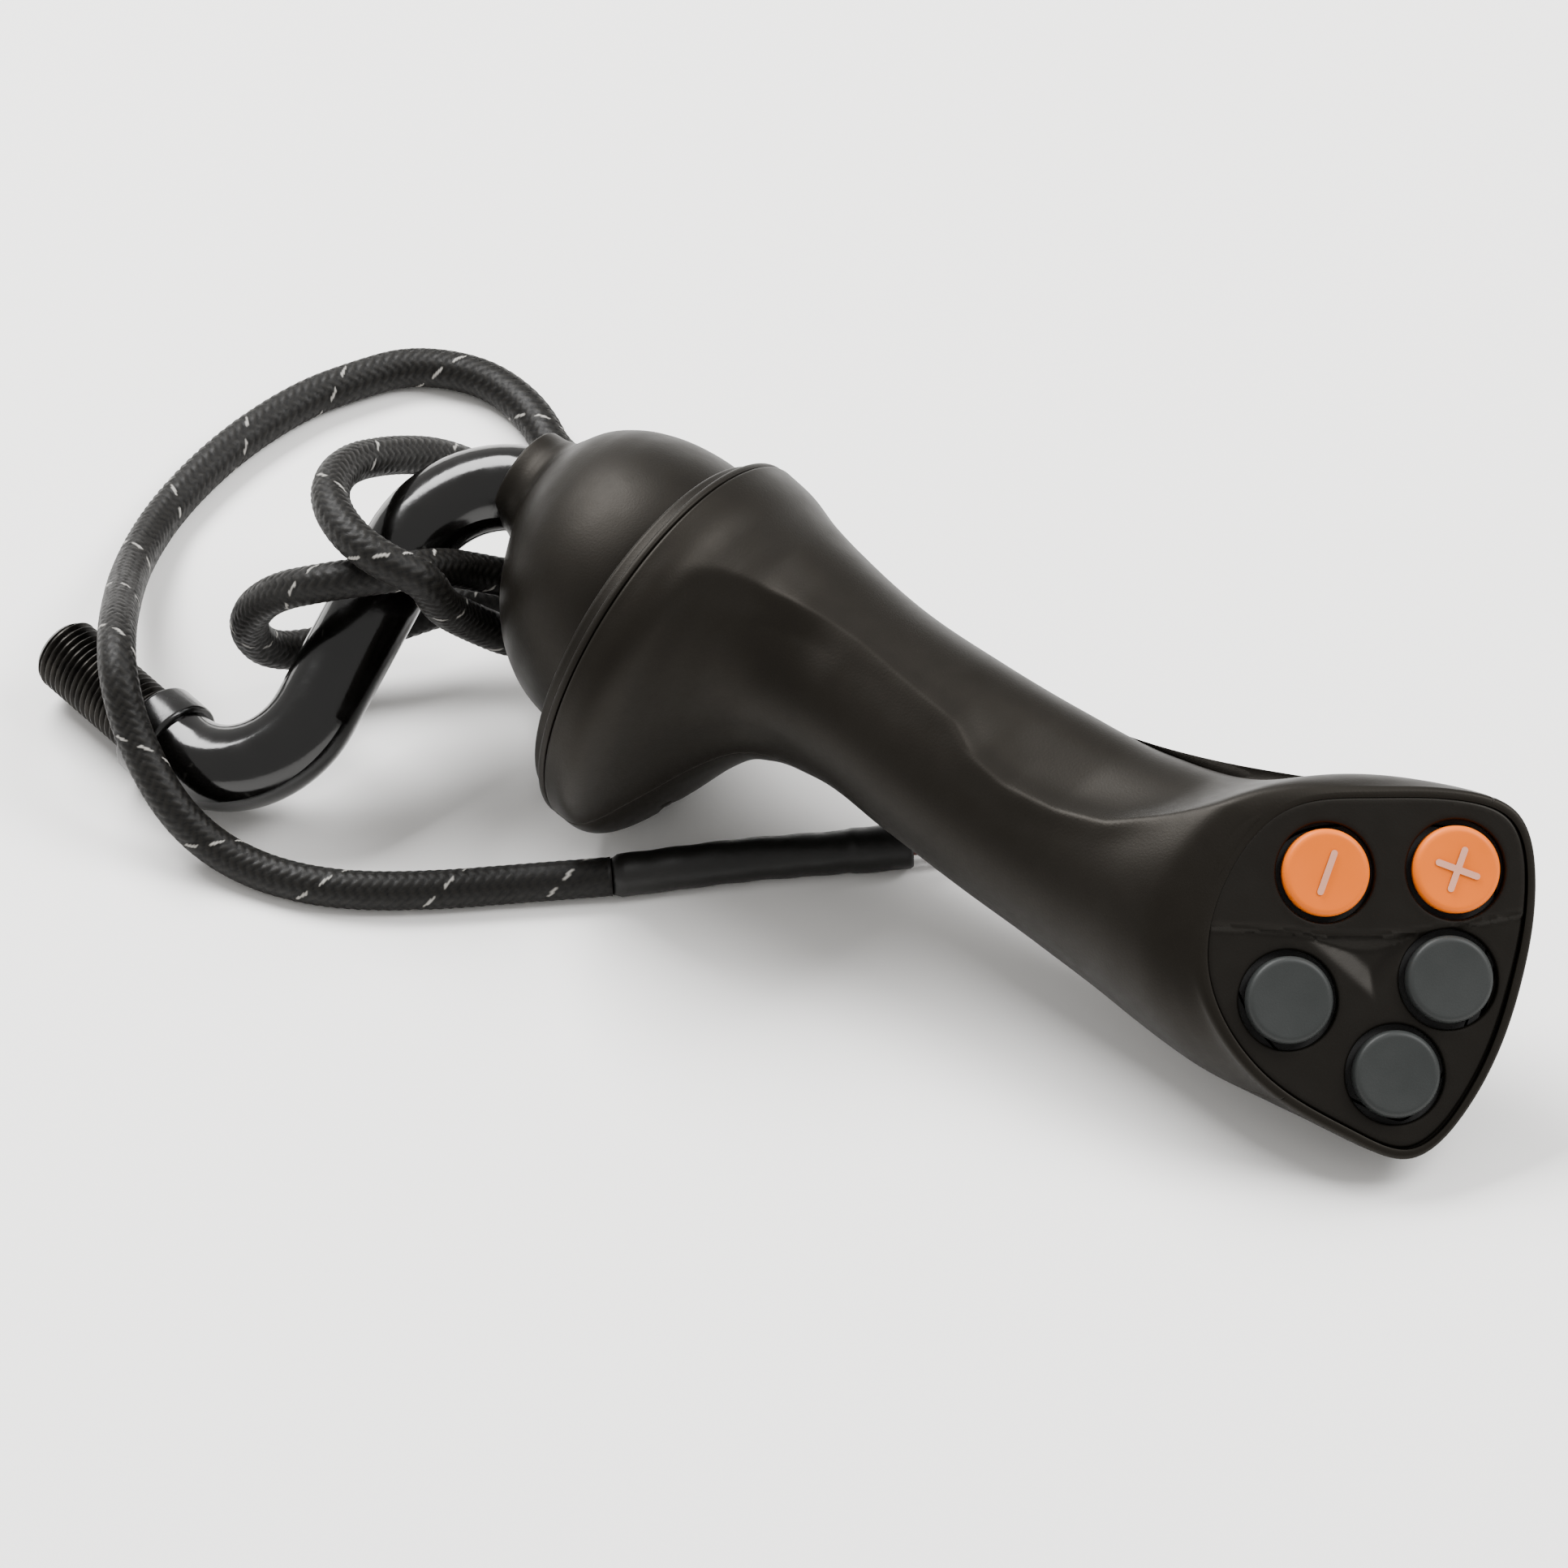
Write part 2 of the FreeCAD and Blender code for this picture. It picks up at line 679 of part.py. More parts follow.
def build_face():
    """The face plate with its five button holes, and the gasket under its edge."""
    plate = face_plate(0.0, 0.0, dim("face_thickness"))
    for x, y in BUTTONS.values():
        plate = plate.cut(Part.makeCylinder(dim("hole_radius"), 10, Vector(x, y, -5)))
    feature("button_face", plate, GRIP * FACE)
    depth = -dim("face_thickness")
    outer = face_plate(-dim("wall") - 0.2, depth - 0.1, 0.9)
    inner = face_plate(-dim("wall") - 1.6, depth + 1.0, 4.0)
    feature("face_gasket", outer.cut(inner), GRIP * FACE)


def build_seal_mat():
    """A rubber mat under the face plate, holed for the plungers."""
    top = -dim("face_thickness") - 0.1
    mat = face_plate(-dim("wall") - 2.0, top, dim("mat_thickness"))
    for x, y in BUTTONS.values():
        mat = mat.cut(Part.makeCylinder(dim("mat_hole"), 10, Vector(x, y, -8)))
    feature("seal_mat", mat, GRIP * FACE)


def build_board():
    """The circuit board that carries the switches."""
    board = face_plate(-6.6, -dim("board_depth"), dim("board_thickness"))
    feature("circuit_board", board, GRIP * FACE)
    plug = Part.makeBox(9.0, 5.0, 4.0, Vector(-4.5, -2.5, 0))
    socket = Part.makeBox(7.0, 3.2, 3.0, Vector(-3.5, -1.6, -0.1))
    below = -dim("board_depth") - dim("board_thickness") - 4.0
    feature("board_connector", plug.cut(socket), on_face(-9.0, 2.0, below))


def build_buttons():
    """Each button: a cap, its plunger and the switch below, on one axis square to the face."""
    cap_base = dim("button_proud") - dim("button_height")
    for name, (x, y) in BUTTONS.items():
        cap = stepped_pin(f"{name}_cap", [("#button_radius", "#button_height")])
        rim = circle_at(dim("button_height"))
        round_edges(cap, f"{name}_cap_round", "PartDesign::Fillet", rim, "Radius", "#button_round")
        node(cap, f"{name}_button", on_face(x, y, cap_base))
        plunger = stepped_pin(
            f"{name}_stem",
            [("#tip_radius", "#tip_length"), ("#plunger_radius", "#plunger_length")],
        )
        low = cap_base - dim("plunger_length") - dim("tip_length")
        node(plunger, f"{name}_plunger", on_face(x, y, low))
        switch = new_body(f"{name}_housing")
        outline = new_sketch(switch, f"{name}_square")
        add_rectangle(outline, "#switch_width", "#switch_width")
        add_circle(outline, 0, 0, "#switch_bore")
        add_pad(switch, outline, f"{name}_housing_pad", "#switch_height")
        node(switch, f"{name}_switch", on_face(x, y, -dim("board_depth")))


def mark_bar(length, width, height, angle):
    """A round-ended bar lying on the cap."""
    bar = Part.makeBox(length - width, width, height, Vector((width - length) / 2, -width / 2, 0))
    ends = [
        Part.makeCylinder(width / 2, height, Vector(side * (length - width) / 2, 0, 0))
        for side in (-1, 1)
    ]
    for shape in [bar, *ends]:
        shape.rotate(Vector(), Vector(0, 0, 1), angle)
    return bar.multiFuse(ends).removeSplitter()


MARK_ANGLE = 70.0


def build_marks():
    """The minus and plus signs printed on the two upper caps."""
    size = (dim("mark_length"), dim("mark_width"), dim("mark_height"))
    minus = mark_bar(*size, MARK_ANGLE)
    plus = minus.fuse(mark_bar(*size, MARK_ANGLE + 90)).removeSplitter()
    for name, shape in (("minus", minus), ("plus", plus)):
        x, y = BUTTONS[name]
        feature(f"{name}_mark", shape, on_face(x, y, dim("button_proud")))


# ---------------------------------------------------------------- cable

# Where the cable leaves the base cap, and which way, in the grip frame.
OUTLET = Vector(-29.0, -3.3, -5.6)
OUTLET_DIRECTION = Vector(-0.72, -0.42, 0.55).normalize()
GROMMET_RADIUS = 4.4
GROMMET_OUT = 1.5
GROMMET_IN = 3.5
FIRST_RUN = 7.8


def outlet_bore():
    """The hole in the base cap that the grommet fills."""
    start = OUTLET - OUTLET_DIRECTION * (GROMMET_IN + 2)
    return Part.makeCylinder(GROMMET_RADIUS + 0.02, GROMMET_IN + GROMMET_OUT + 8, start, OUTLET_DIRECTION)


def build_outlet():
    """The rubber grommet round the cable's end in the base cap."""
    body = new_body("outlet_sleeve")
    ring = new_sketch(body, "outlet_ring")
    add_circle(ring, 0, 0, f"{GROMMET_RADIUS}")
    add_circle(ring, 0, 0, "#cable_radius")
    add_pad(body, ring, "outlet_pad", f"{GROMMET_IN + GROMMET_OUT}")
    start = OUTLET - OUTLET_DIRECTION * GROMMET_IN
    node(body, "cable_grommet", GRIP * Placement(start, turned_to(OUTLET_DIRECTION)))


# The cable's route on the part's own frame after its first run: a wrap round the lever, a second and
# larger wrap, then a wide loop on the ground that crosses over the stud and comes back to the grip.
CABLE_ROUTE = [
    (-55.1, 39.9, 37.7),
    (-62.2, 34.0, 42.2),
    (-73.2, 33.3, 40.9),
    (-82.7, 38.3, 33.3),
    (-86.8, 43.1, 21.7),
    (-83.2, 47.2, 11.0),
    (-73.9, 51.1, 8.5),
    (-63.2, 54.0, 10.8),
    (-52.6, 57.6, 12.2),
    (-43.0, 57.1, 13.2),
    (-38.3, 51.2, 13.6),
    (-42.0, 42.8, 17.4),
    (-51.9, 36.8, 29.2),
    (-55.4, 31.6, 37.5),
    (-57.4, 28.5, 46.0),
    (-64.0, 29.0, 49.4),
    (-70.0, 34.3, 50.4),
    (-73.5, 43.5, 49.8),
    (-70.9, 54.7, 46.1),
    (-63.2, 64.0, 39.2),
    (-54.4, 70.8, 31.8),
    (-44.9, 73.8, 22.1),
    (-33.6, 72.1, 12.0),
    (-22.6, 70.6, 5.9),
    (-14.1, 75.1, 3.3),
    (-12.4, 83.1, 3.1),
    (-17.6, 89.6, 3.1),
    (-26.6, 93.6, 3.1),
    (-35.8, 99.7, 3.1),
    (-40.4, 109.3, 3.1),
    (-46.6, 116.5, 3.1),
    (-53.4, 119.8, 3.1),
    (-61.2, 120.5, 3.1),
    (-68.9, 117.6, 3.1),
    (-77.0, 112.4, 3.1),
    (-86.1, 104.3, 3.1),
    (-93.9, 94.8, 3.1),
    (-100.3, 83.7, 3.1),
    (-104.6, 67.8, 8.0),
    (-106.6, 48.9, 19.0),
    (-107.0, 37.1, 24.0),
    (-106.5, 29.2, 23.5),
    (-104.3, 22.8, 17.5),
    (-99.5, 14.1, 11.5),
    (-93.4, 10.4, 5.5),
    (-85.6, 6.2, 3.1),
    (-76.8, 2.5, 3.1),
    (-67.0, 1.0, 3.1),
    (-54.6, 1.4, 3.1),
    (-41.6, 2.9, 3.1),
    (-27.8, 3.9, 3.6),
]
SLEEVE_ROUTE = [(-27.8, 3.9, 3.6), (-8.2, 7.5, 3.6), (5.8, 8.9, 3.6), (20.1, 11.0, 3.6)]

# Each lead: where it starts on the sleeve's end, as (across, up), and its route on the ground.
LEADS = {
    "green": ((0.0, 1.4), [(28.8, 13.5, 4.2), (38.3, 14.1, 0.9), (51.5, 16.5, 0.9)]),
    "brown": ((1.4, 0.0), [(29.3, 10.9, 2.6), (37.8, 9.3, 0.9), (51.5, 10.1, 0.9)]),
    "white": ((-1.4, 0.0), [(28.3, 15.7, 2.4), (36.8, 19.5, 0.9), (49.5, 22.3, 0.9)]),
    "black": ((0.0, -1.4), [(28.8, 12.5, 1.6), (37.8, 12.1, 0.9), (52.5, 13.5, 0.9)]),
}


def tube_path(points, label):
    """Straight runs joined by tangent arcs, each arc as large as its two runs allow."""
    edges = []
    last = points[0]
    for before, corner, after in zip(points, points[1:], points[2:]):
        turn = math.pi - (before - corner).getAngle(after - corner)
        shorter = min((before - corner).Length, (after - corner).Length)
        radius = 0.45 * shorter / math.tan(turn / 2)
        arc = tangent_arc(before, corner, after, radius)
        edges.append(Part.LineSegment(last, arc[0]).toShape())
        edges.append(Part.Arc(*arc).toShape())
        last = arc[2]
        run = (corner - before).Length
        print(f"{label}: run {run:.1f}, turn {math.degrees(turn):.0f}, radius {radius:.1f}")
    edges.append(Part.LineSegment(last, points[-1]).toShape())
    return Part.Wire(edges)


def tube(label, points, radius):
    """A round tube along a route, compared with its section times its length."""
    path = tube_path(points, label)
    solid = sweep_round(path, radius)
    expected = math.pi * radius**2 * path.Length
    print(f"{label}: length {path.Length:.1f}, volume {solid.Volume / expected:.4f} of expected")
    return feature(label, solid)


def build_cable():
    """The cable, its shrink sleeve and the four leads that come out of the sleeve."""
    first_run = [GRIP.multVec(OUTLET + OUTLET_DIRECTION * along) for along in (0.0, FIRST_RUN)]
    route = first_run + [Vector(*point) for point in CABLE_ROUTE]
    tube("control_cable", route, dim("cable_radius"))
    sleeve_route = [Vector(*point) for point in SLEEVE_ROUTE]
    tube("shrink_sleeve", sleeve_route, dim("shrink_radius"))
    end = sleeve_route[-1]
    ahead = (end - sleeve_route[-2]).normalize()
    across = Vector(ahead.y, -ahead.x, 0).normalize()
    for colour, ((side, up), route) in LEADS.items():
        start = end + across * side + Vector(0, 0, up)
        points = [start] + [Vector(*point) for point in route]
        tube(f"{colour}_lead", points, dim("lead_radius"))
        tip = (points[-1] - points[-2]).normalize()
        ferrule = stepped_pin(f"{colour}_crimp", [("#ferrule_radius", "#ferrule_length")])
        node(ferrule, f"{colour}_ferrule", Placement(points[-1], turned_to(tip)))


# The wires' route inside the grip: past the socket on the thumb side, then up to the board's connector.
HARNESS_ROUTE = [
    (-15.0, 9.0, -14.5),
    (-6.0, 16.5, -12.5),
    (1.0, 22.6, -5.0),
    (9.0, 23.0, 3.5),
    (27.0, 22.8, 4.2),
    (50.0, 22.2, 4.2),
    (60.0, 13.0, 3.0),
    (78.0, 11.0, 0.0),
    (98.0, 12.0, 1.0),
    (112.0, 13.5, -3.5),
]


def build_harness():
    """The wires inside the grip, from the end of the cable to the board's connector."""
    start = [OUTLET - OUTLET_DIRECTION * along for along in (0.0, FIRST_RUN)]
    path = tube_path(start + [Vector(*point) for point in HARNESS_ROUTE], "inner_harness")
    feature("inner_harness", sweep_round(path, dim("harness_radius")), GRIP)


# ---------------------------------------------------------------- make everything

build_shells()
build_shell_screws()
build_flange_ring()
build_base_cap()
build_lever()
build_socket()
build_face()
build_seal_mat()
build_board()
build_buttons()
build_marks()
build_outlet()
build_cable()
build_harness()

doc.recompute()

for thing in doc.Objects:
    if "Invalid" in thing.State or "Error" in thing.State:
        raise RuntimeError(f"{thing.Label} failed: {thing.State}")
bad = [t.Label for t in NODES if t.Shape.isNull() or not t.Shape.isValid() or not t.Shape.Solids]
if bad:
    raise RuntimeError(f"no valid solid: {bad}")

for thing in NODES:
    thing.Shape.exportStep(f"parts/{thing.Label}.step")
    box = thing.Shape.BoundBox
    print(f"{thing.Label}: {thing.Shape.Volume:.0f} mm3, z {box.ZMin:.1f} to {box.ZMax:.1f}")

whole = Part.makeCompound([thing.Shape for thing in NODES]).BoundBox
print(f"whole: {whole.XLength:.1f} x {whole.YLength:.1f} x {whole.ZLength:.1f} mm")
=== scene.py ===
import json
import math

import bmesh
import bpy
import numpy as np
from mathutils import Matrix, Vector
from mathutils.bvhtree import BVHTree
from mathutils.geometry import delaunay_2d_cdt

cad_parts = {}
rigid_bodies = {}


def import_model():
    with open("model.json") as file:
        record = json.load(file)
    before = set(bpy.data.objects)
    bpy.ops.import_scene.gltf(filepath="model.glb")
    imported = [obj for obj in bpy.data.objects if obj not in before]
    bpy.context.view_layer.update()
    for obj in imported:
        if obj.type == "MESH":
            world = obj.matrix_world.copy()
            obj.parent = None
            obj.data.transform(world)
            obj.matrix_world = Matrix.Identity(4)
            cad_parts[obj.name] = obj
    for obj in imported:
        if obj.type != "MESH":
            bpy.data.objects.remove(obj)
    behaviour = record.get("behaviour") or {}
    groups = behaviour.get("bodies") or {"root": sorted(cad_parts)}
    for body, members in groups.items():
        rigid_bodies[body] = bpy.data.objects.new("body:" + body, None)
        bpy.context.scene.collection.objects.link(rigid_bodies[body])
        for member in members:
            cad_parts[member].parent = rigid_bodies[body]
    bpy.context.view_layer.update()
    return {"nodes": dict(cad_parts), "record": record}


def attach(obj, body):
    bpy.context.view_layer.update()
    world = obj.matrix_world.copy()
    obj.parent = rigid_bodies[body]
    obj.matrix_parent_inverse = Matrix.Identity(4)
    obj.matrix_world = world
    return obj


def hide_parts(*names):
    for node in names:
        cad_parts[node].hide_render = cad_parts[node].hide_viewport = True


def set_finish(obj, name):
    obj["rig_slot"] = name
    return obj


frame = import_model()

MM = 0.001

# ---------------------------------------------------------------- frames, as in the CAD model

GRIP = (
    Matrix.Translation((-0.0189, 0.0269, 0.0324))
    @ Matrix.Rotation(math.radians(-37.5), 4, "Z")
    @ Matrix.Rotation(math.radians(7.1), 4, "Y")
    @ Matrix.Rotation(math.radians(30.5), 4, "X")
)
FACE_PLACE = (0.1306, 0.0180, 0.0037)
FACE_TILT = math.radians(27.7)
FACE_TURN = math.radians(35.65)
FACE = (
    GRIP
    @ Matrix.Translation(FACE_PLACE)
    @ Matrix.Rotation(FACE_TILT, 4, "Y")
    @ Matrix.Rotation(FACE_TURN, 4, "Z")
)
OUTLET = Vector((-0.0290, -0.0033, -0.0056))
OUTLET_DIRECTION = Vector((-0.72, -0.42, 0.55)).normalized()
FIRST_RUN = 0.0078
CABLE_DIAMETER = 0.0062
SLEEVE_DIAMETER = 0.0072
LEAD_DIAMETER = 0.0013

# ---------------------------------------------------------------- camera

VIEW_CENTRE = Vector((-0.0002, 0.0284, 0.0))
VIEW_ELEVATION = math.radians(45)
VIEW_DISTANCE = 12.0
VIEW_WIDTH = 0.2512


def make_camera():
    """The camera at the angle of the photograph, far off and narrow, so nearly parallel."""
    data = bpy.data.cameras.new("camera")
    data.lens = data.sensor_width * VIEW_DISTANCE / VIEW_WIDTH
    data.clip_end = 40
    camera = bpy.data.objects.new("camera", data)
    back = Vector((0, -math.cos(VIEW_ELEVATION), math.sin(VIEW_ELEVATION)))
    camera.location = VIEW_CENTRE + back * VIEW_DISTANCE
    camera.rotation_euler = (math.pi / 2 - VIEW_ELEVATION, 0, 0)
    bpy.context.scene.collection.objects.link(camera)
    bpy.context.scene.camera = camera


make_camera()

# ---------------------------------------------------------------- mesh helpers


def add_object(name, mesh, smooth=True):
    """A piece from a mesh, in the scene."""
    mesh.validate()
    if smooth:
        mesh.shade_smooth()
    piece = bpy.data.objects.new(name, mesh)
    bpy.context.scene.collection.objects.link(piece)
    return piece


def mesh_object(name, verts, faces, smooth=True):
    """A piece from lists of vertices and faces."""
    mesh = bpy.data.meshes.new(name)
    mesh.from_pydata([tuple(v) for v in verts], [], faces)
    return add_object(name, mesh, smooth)


def grid_faces(rows, cols, closed):
    """Quads of a grid of rows, each of cols points; closed joins the last column to the first."""
    faces = []
    for i in range(rows - 1):
        for j in range(cols if closed else cols - 1):
            k = (j + 1) % cols
            faces.append((i * cols + j, i * cols + k, (i + 1) * cols + k, (i + 1) * cols + j))
    return faces


def carry(points, placement):
    """Points, as an array, carried by a placement."""
    turn = np.array(placement)
    return np.asarray(points, float) @ turn[:3, :3].T + turn[:3, 3]


def corner(centre, radius, first, last, steps=6):
    """Points of an arc in the lathe's (radius, height) plane, angles in degrees."""
    angles = [math.radians(first + (last - first) * i / steps) for i in range(steps + 1)]
    return [(centre[0] + radius * math.cos(a), centre[1] + radius * math.sin(a)) for a in angles]


def lathe(name, profile, placement, segments=96):
    """A closed solid turned about local Z from a profile in mm; a radius of 0 makes a pole."""
    poles = profile[0][0] < 1e-6 and profile[-1][0] < 1e-6
    rings = profile[1:-1] if poles else profile
    verts = []
    for radius, height in rings:
        for j in range(segments):
            angle = 2 * math.pi * j / segments
            verts.append((radius * math.cos(angle), radius * math.sin(angle), height))
    faces = grid_faces(len(rings), segments, True)
    last = (len(rings) - 1) * segments
    if poles:
        verts += [(0, 0, profile[0][1]), (0, 0, profile[-1][1])]
        low, high = len(verts) - 2, len(verts) - 1
        faces += [(low, (j + 1) % segments, j) for j in range(segments)]
        faces += [(high, last + j, last + (j + 1) % segments) for j in range(segments)]
    else:
        for j in range(segments):
            after = (j + 1) % segments
            faces.append((last + j, last + after, after, j))
    return mesh_object(name, carry(np.array(verts) * MM, placement), faces)


def spline_path(name, points):
    """The points of a smooth curve with the route's points as its control points."""
    data = bpy.data.curves.new(name, "CURVE")
    data.dimensions = "3D"
    data.resolution_u = 40
    spline = data.splines.new("NURBS")
    spline.points.add(len(points) - 1)
    for target, point in zip(spline.points, points):
        target.co = (*point, 1)
    spline.order_u = 3
    spline.use_endpoint_u = True
    holder = bpy.data.objects.new(name, data)
    bpy.context.scene.collection.objects.link(holder)
    mesh = bpy.data.meshes.new_from_object(holder)
    path = np.array([v.co for v in mesh.vertices])
    bpy.data.objects.remove(holder)
    bpy.data.meshes.remove(mesh)
    return path


def path_frames(path):
    """Distance along a path, and two directions square to it that turn as little as they can."""
    steps = np.linalg.norm(np.diff(path, axis=0), axis=1)
    along = np.concatenate([[0], np.cumsum(steps)])
    tangents = np.gradient(path, along, axis=0)
    tangents /= np.linalg.norm(tangents, axis=1)[:, None]
    seed = np.array([0.0, 0.0, 1.0])
    if abs(tangents[0] @ seed) > 0.9:
        seed = np.array([0.0, 1.0, 0.0])
    sides = []
    side = seed
    for tangent in tangents:
        side = side - tangent * (side @ tangent)
        side = side / np.linalg.norm(side)
        sides.append(side)
    sides = np.array(sides)
    return along, sides, np.cross(tangents, sides)


def tube(name, path, radius, segments):
    """A closed tube along a path; radius(along, angle) works on arrays and gives metres."""
    along, side, up = path_frames(path)
    angles = np.linspace(0, 2 * math.pi, segments, endpoint=False)
    reach = radius(along[:, None], angles[None, :]) * np.ones((len(along), segments))
    ring = (
        np.cos(angles)[None, :, None] * side[:, None]
        + np.sin(angles)[None, :, None] * up[:, None]
    )
    verts = (path[:, None] + ring * reach[..., None]).reshape(-1, 3)
    faces = grid_faces(len(path), segments, True)
    faces.append(tuple(range(segments))[::-1])
    last = (len(path) - 1) * segments
    faces.append(tuple(range(last, last + segments)))
    faces = [face[::-1] for face in faces]
    return mesh_object(name, verts, faces)


def smoothstep(low, high, value):
    """From 0 at low to 1 at high, with level ends."""
    share = np.clip((value - low) / (high - low), 0, 1)
    return share * share * (3 - 2 * share)


def boolean(piece, other, operation):
    """Apply a boolean and drop the other piece."""
    modifier = piece.modifiers.new("boolean", "BOOLEAN")
    modifier.object = other
    modifier.operation = operation
    modifier.solver = "EXACT"
    graph = bpy.context.evaluated_depsgraph_get()
    mesh = bpy.data.meshes.new_from_object(piece.evaluated_get(graph))
    piece.modifiers.clear()
    piece.data = mesh
    bpy.data.objects.remove(other)
    return piece


# ---------------------------------------------------------------- materials


def new_material(name, colour, roughness, metallic=0.0, **sockets):
    """A Principled material; the other sockets are set by name with underscores for spaces."""
    material = bpy.data.materials.new(name)
    material.use_nodes = True
    shader = material.node_tree.nodes["Principled BSDF"]
    shader.inputs["Base Color"].default_value = (*colour, 1)
    shader.inputs["Roughness"].default_value = roughness
    shader.inputs["Metallic"].default_value = metallic
    for socket, value in sockets.items():
        shader.inputs[socket.replace("_", " ")].default_value = value
    return material


def noise(material, scale, detail=3.0, stretch=None):
    """Object-space noise, in features per metre."""
    nodes, links = material.node_tree.nodes, material.node_tree.links
    place = nodes.new("ShaderNodeTexCoord")
    texture = nodes.new("ShaderNodeTexNoise")
    texture.inputs["Scale"].default_value = scale
    texture.inputs["Detail"].default_value = detail
    source = place.outputs["Object"]
    if stretch:
        mapping = nodes.new("ShaderNodeMapping")
        mapping.inputs["Scale"].default_value = stretch
        links.new(source, mapping.inputs["Vector"])
        source = mapping.outputs["Vector"]
    links.new(source, texture.inputs["Vector"])
    return texture.outputs["Fac"]


def ramp(material, value, stops):
    """A colour ramp from (position, colour) stops."""
    node = material.node_tree.nodes.new("ShaderNodeValToRGB")
    elements = node.color_ramp.elements
    while len(elements) < len(stops):
        elements.new(0.5)
    for element, (position, colour) in zip(elements, stops):
        element.position = position
        element.color = (*colour, 1)
    material.node_tree.links.new(value, node.inputs["Fac"])
    return node.outputs["Color"]


def spread(material, value, low, high):
    """Map the middle of a noise to a range."""
    node = material.node_tree.nodes.new("ShaderNodeMapRange")
    node.inputs["From Min"].default_value = 0.3
    node.inputs["From Max"].default_value = 0.7
    node.inputs["To Min"].default_value = low
    node.inputs["To Max"].default_value = high
    material.node_tree.links.new(value, node.inputs["Value"])
    return node.outputs["Result"]


def join_socket(material, value, socket):
    """Join an output to a socket of the material's shader."""
    shader = material.node_tree.nodes["Principled BSDF"]
    material.node_tree.links.new(value, shader.inputs[socket])


def bump(material, value, depth, strength=1.0):
    """Bump from a height value, depth in metres."""
    node = material.node_tree.nodes.new("ShaderNodeBump")
    node.inputs["Strength"].default_value = strength
    node.inputs["Distance"].default_value = depth
    material.node_tree.links.new(value, node.inputs["Height"])
    join_socket(material, node.outputs["Normal"], "Normal")


def worn(name, dark, light, rough_low, rough_high, grain=2500, depth=0.00004, cloud=60, **sockets):
    """A moulded or painted surface: cloudy colour, uneven gloss and a fine grain."""
    material = new_material(name, dark, rough_low, **sockets)
    tint = ramp(material, noise(material, cloud), [(0.35, dark), (0.7, light)])
    join_socket(material, tint, "Base Color")
    polish = spread(material, noise(material, cloud * 4, 5), rough_low, rough_high)
    join_socket(material, polish, "Roughness")
    bump(material, noise(material, grain, 2), depth, 0.5)
    return material

# ---------------------------------------------------------------- cable, sleeve and leads

# The route's points, as in the CAD model.
CABLE_ROUTE = [
    (-0.0551, 0.0399, 0.0377),
    (-0.0622, 0.0340, 0.0422),
    (-0.0732, 0.0333, 0.0409),
    (-0.0827, 0.0383, 0.0333),
    (-0.0868, 0.0431, 0.0217),
    (-0.0832, 0.0472, 0.0110),
    (-0.0739, 0.0511, 0.0085),
    (-0.0632, 0.0540, 0.0108),
    (-0.0526, 0.0576, 0.0122),
    (-0.0430, 0.0571, 0.0132),
    (-0.0383, 0.0512, 0.0136),
    (-0.0420, 0.0428, 0.0174),
    (-0.0519, 0.0368, 0.0292),
    (-0.0554, 0.0316, 0.0375),
    (-0.0574, 0.0285, 0.0460),
    (-0.0640, 0.0290, 0.0494),
    (-0.0700, 0.0343, 0.0504),
    (-0.0735, 0.0435, 0.0498),
    (-0.0709, 0.0547, 0.0461),
    (-0.0632, 0.0640, 0.0392),
    (-0.0544, 0.0708, 0.0318),
    (-0.0449, 0.0738, 0.0221),
    (-0.0336, 0.0721, 0.0120),
    (-0.0222, 0.0697, 0.0059),
    (-0.0131, 0.0746, 0.0033),
    (-0.0114, 0.0833, 0.0031),
    (-0.0170, 0.0900, 0.0031),
    (-0.0266, 0.0928, 0.0031),
    (-0.0365, 0.0987, 0.0031),
    (-0.0402, 0.1092, 0.0031),
    (-0.0465, 0.1166, 0.0031),
    (-0.0532, 0.1197, 0.0031),
    (-0.0612, 0.1205, 0.0031),
    (-0.0688, 0.1174, 0.0031),
    (-0.0772, 0.1131, 0.0031),
    (-0.0867, 0.1048, 0.0031),
    (-0.0945, 0.0953, 0.0031),
    (-0.1010, 0.0847, 0.0031),
    (-0.1053, 0.0685, 0.0080),
    (-0.1068, 0.0478, 0.0190),
    (-0.1071, 0.0365, 0.0240),
    (-0.1068, 0.0290, 0.0235),
    (-0.1047, 0.0231, 0.0175),
    (-0.0995, 0.0141, 0.0115),
    (-0.0934, 0.0104, 0.0055),
    (-0.0856, 0.0062, 0.0031),
    (-0.0768, 0.0025, 0.0031),
    (-0.0670, 0.0010, 0.0031),
    (-0.0546, 0.0014, 0.0031),
    (-0.0416, 0.0029, 0.0031),
    (-0.0278, 0.0039, 0.0036),
]
SLEEVE_ROUTE = [
    (-0.0278, 0.0039, 0.0036),
    (-0.0082, 0.0075, 0.0036),
    (0.0058, 0.0089, 0.0036),
    (0.0201, 0.0110, 0.0036),
]
LEAD_ROUTES = {
    "green": [
        (0.0201, 0.0110, 0.0050), (0.0288, 0.0135, 0.0042),
        (0.0383, 0.0141, 0.0009), (0.0515, 0.0165, 0.0009),
    ],
    "brown": [
        (0.0203, 0.0096, 0.0036), (0.0293, 0.0109, 0.0026),
        (0.0378, 0.0093, 0.0009), (0.0515, 0.0101, 0.0009),
    ],
    "white": [
        (0.0199, 0.0124, 0.0036), (0.0283, 0.0157, 0.0024),
        (0.0368, 0.0195, 0.0009), (0.0495, 0.0223, 0.0009),
    ],
    "black": [
        (0.0201, 0.0110, 0.0022), (0.0288, 0.0125, 0.0016),
        (0.0378, 0.0121, 0.0009), (0.0525, 0.0135, 0.0009),
    ],
}
STRANDS = 12
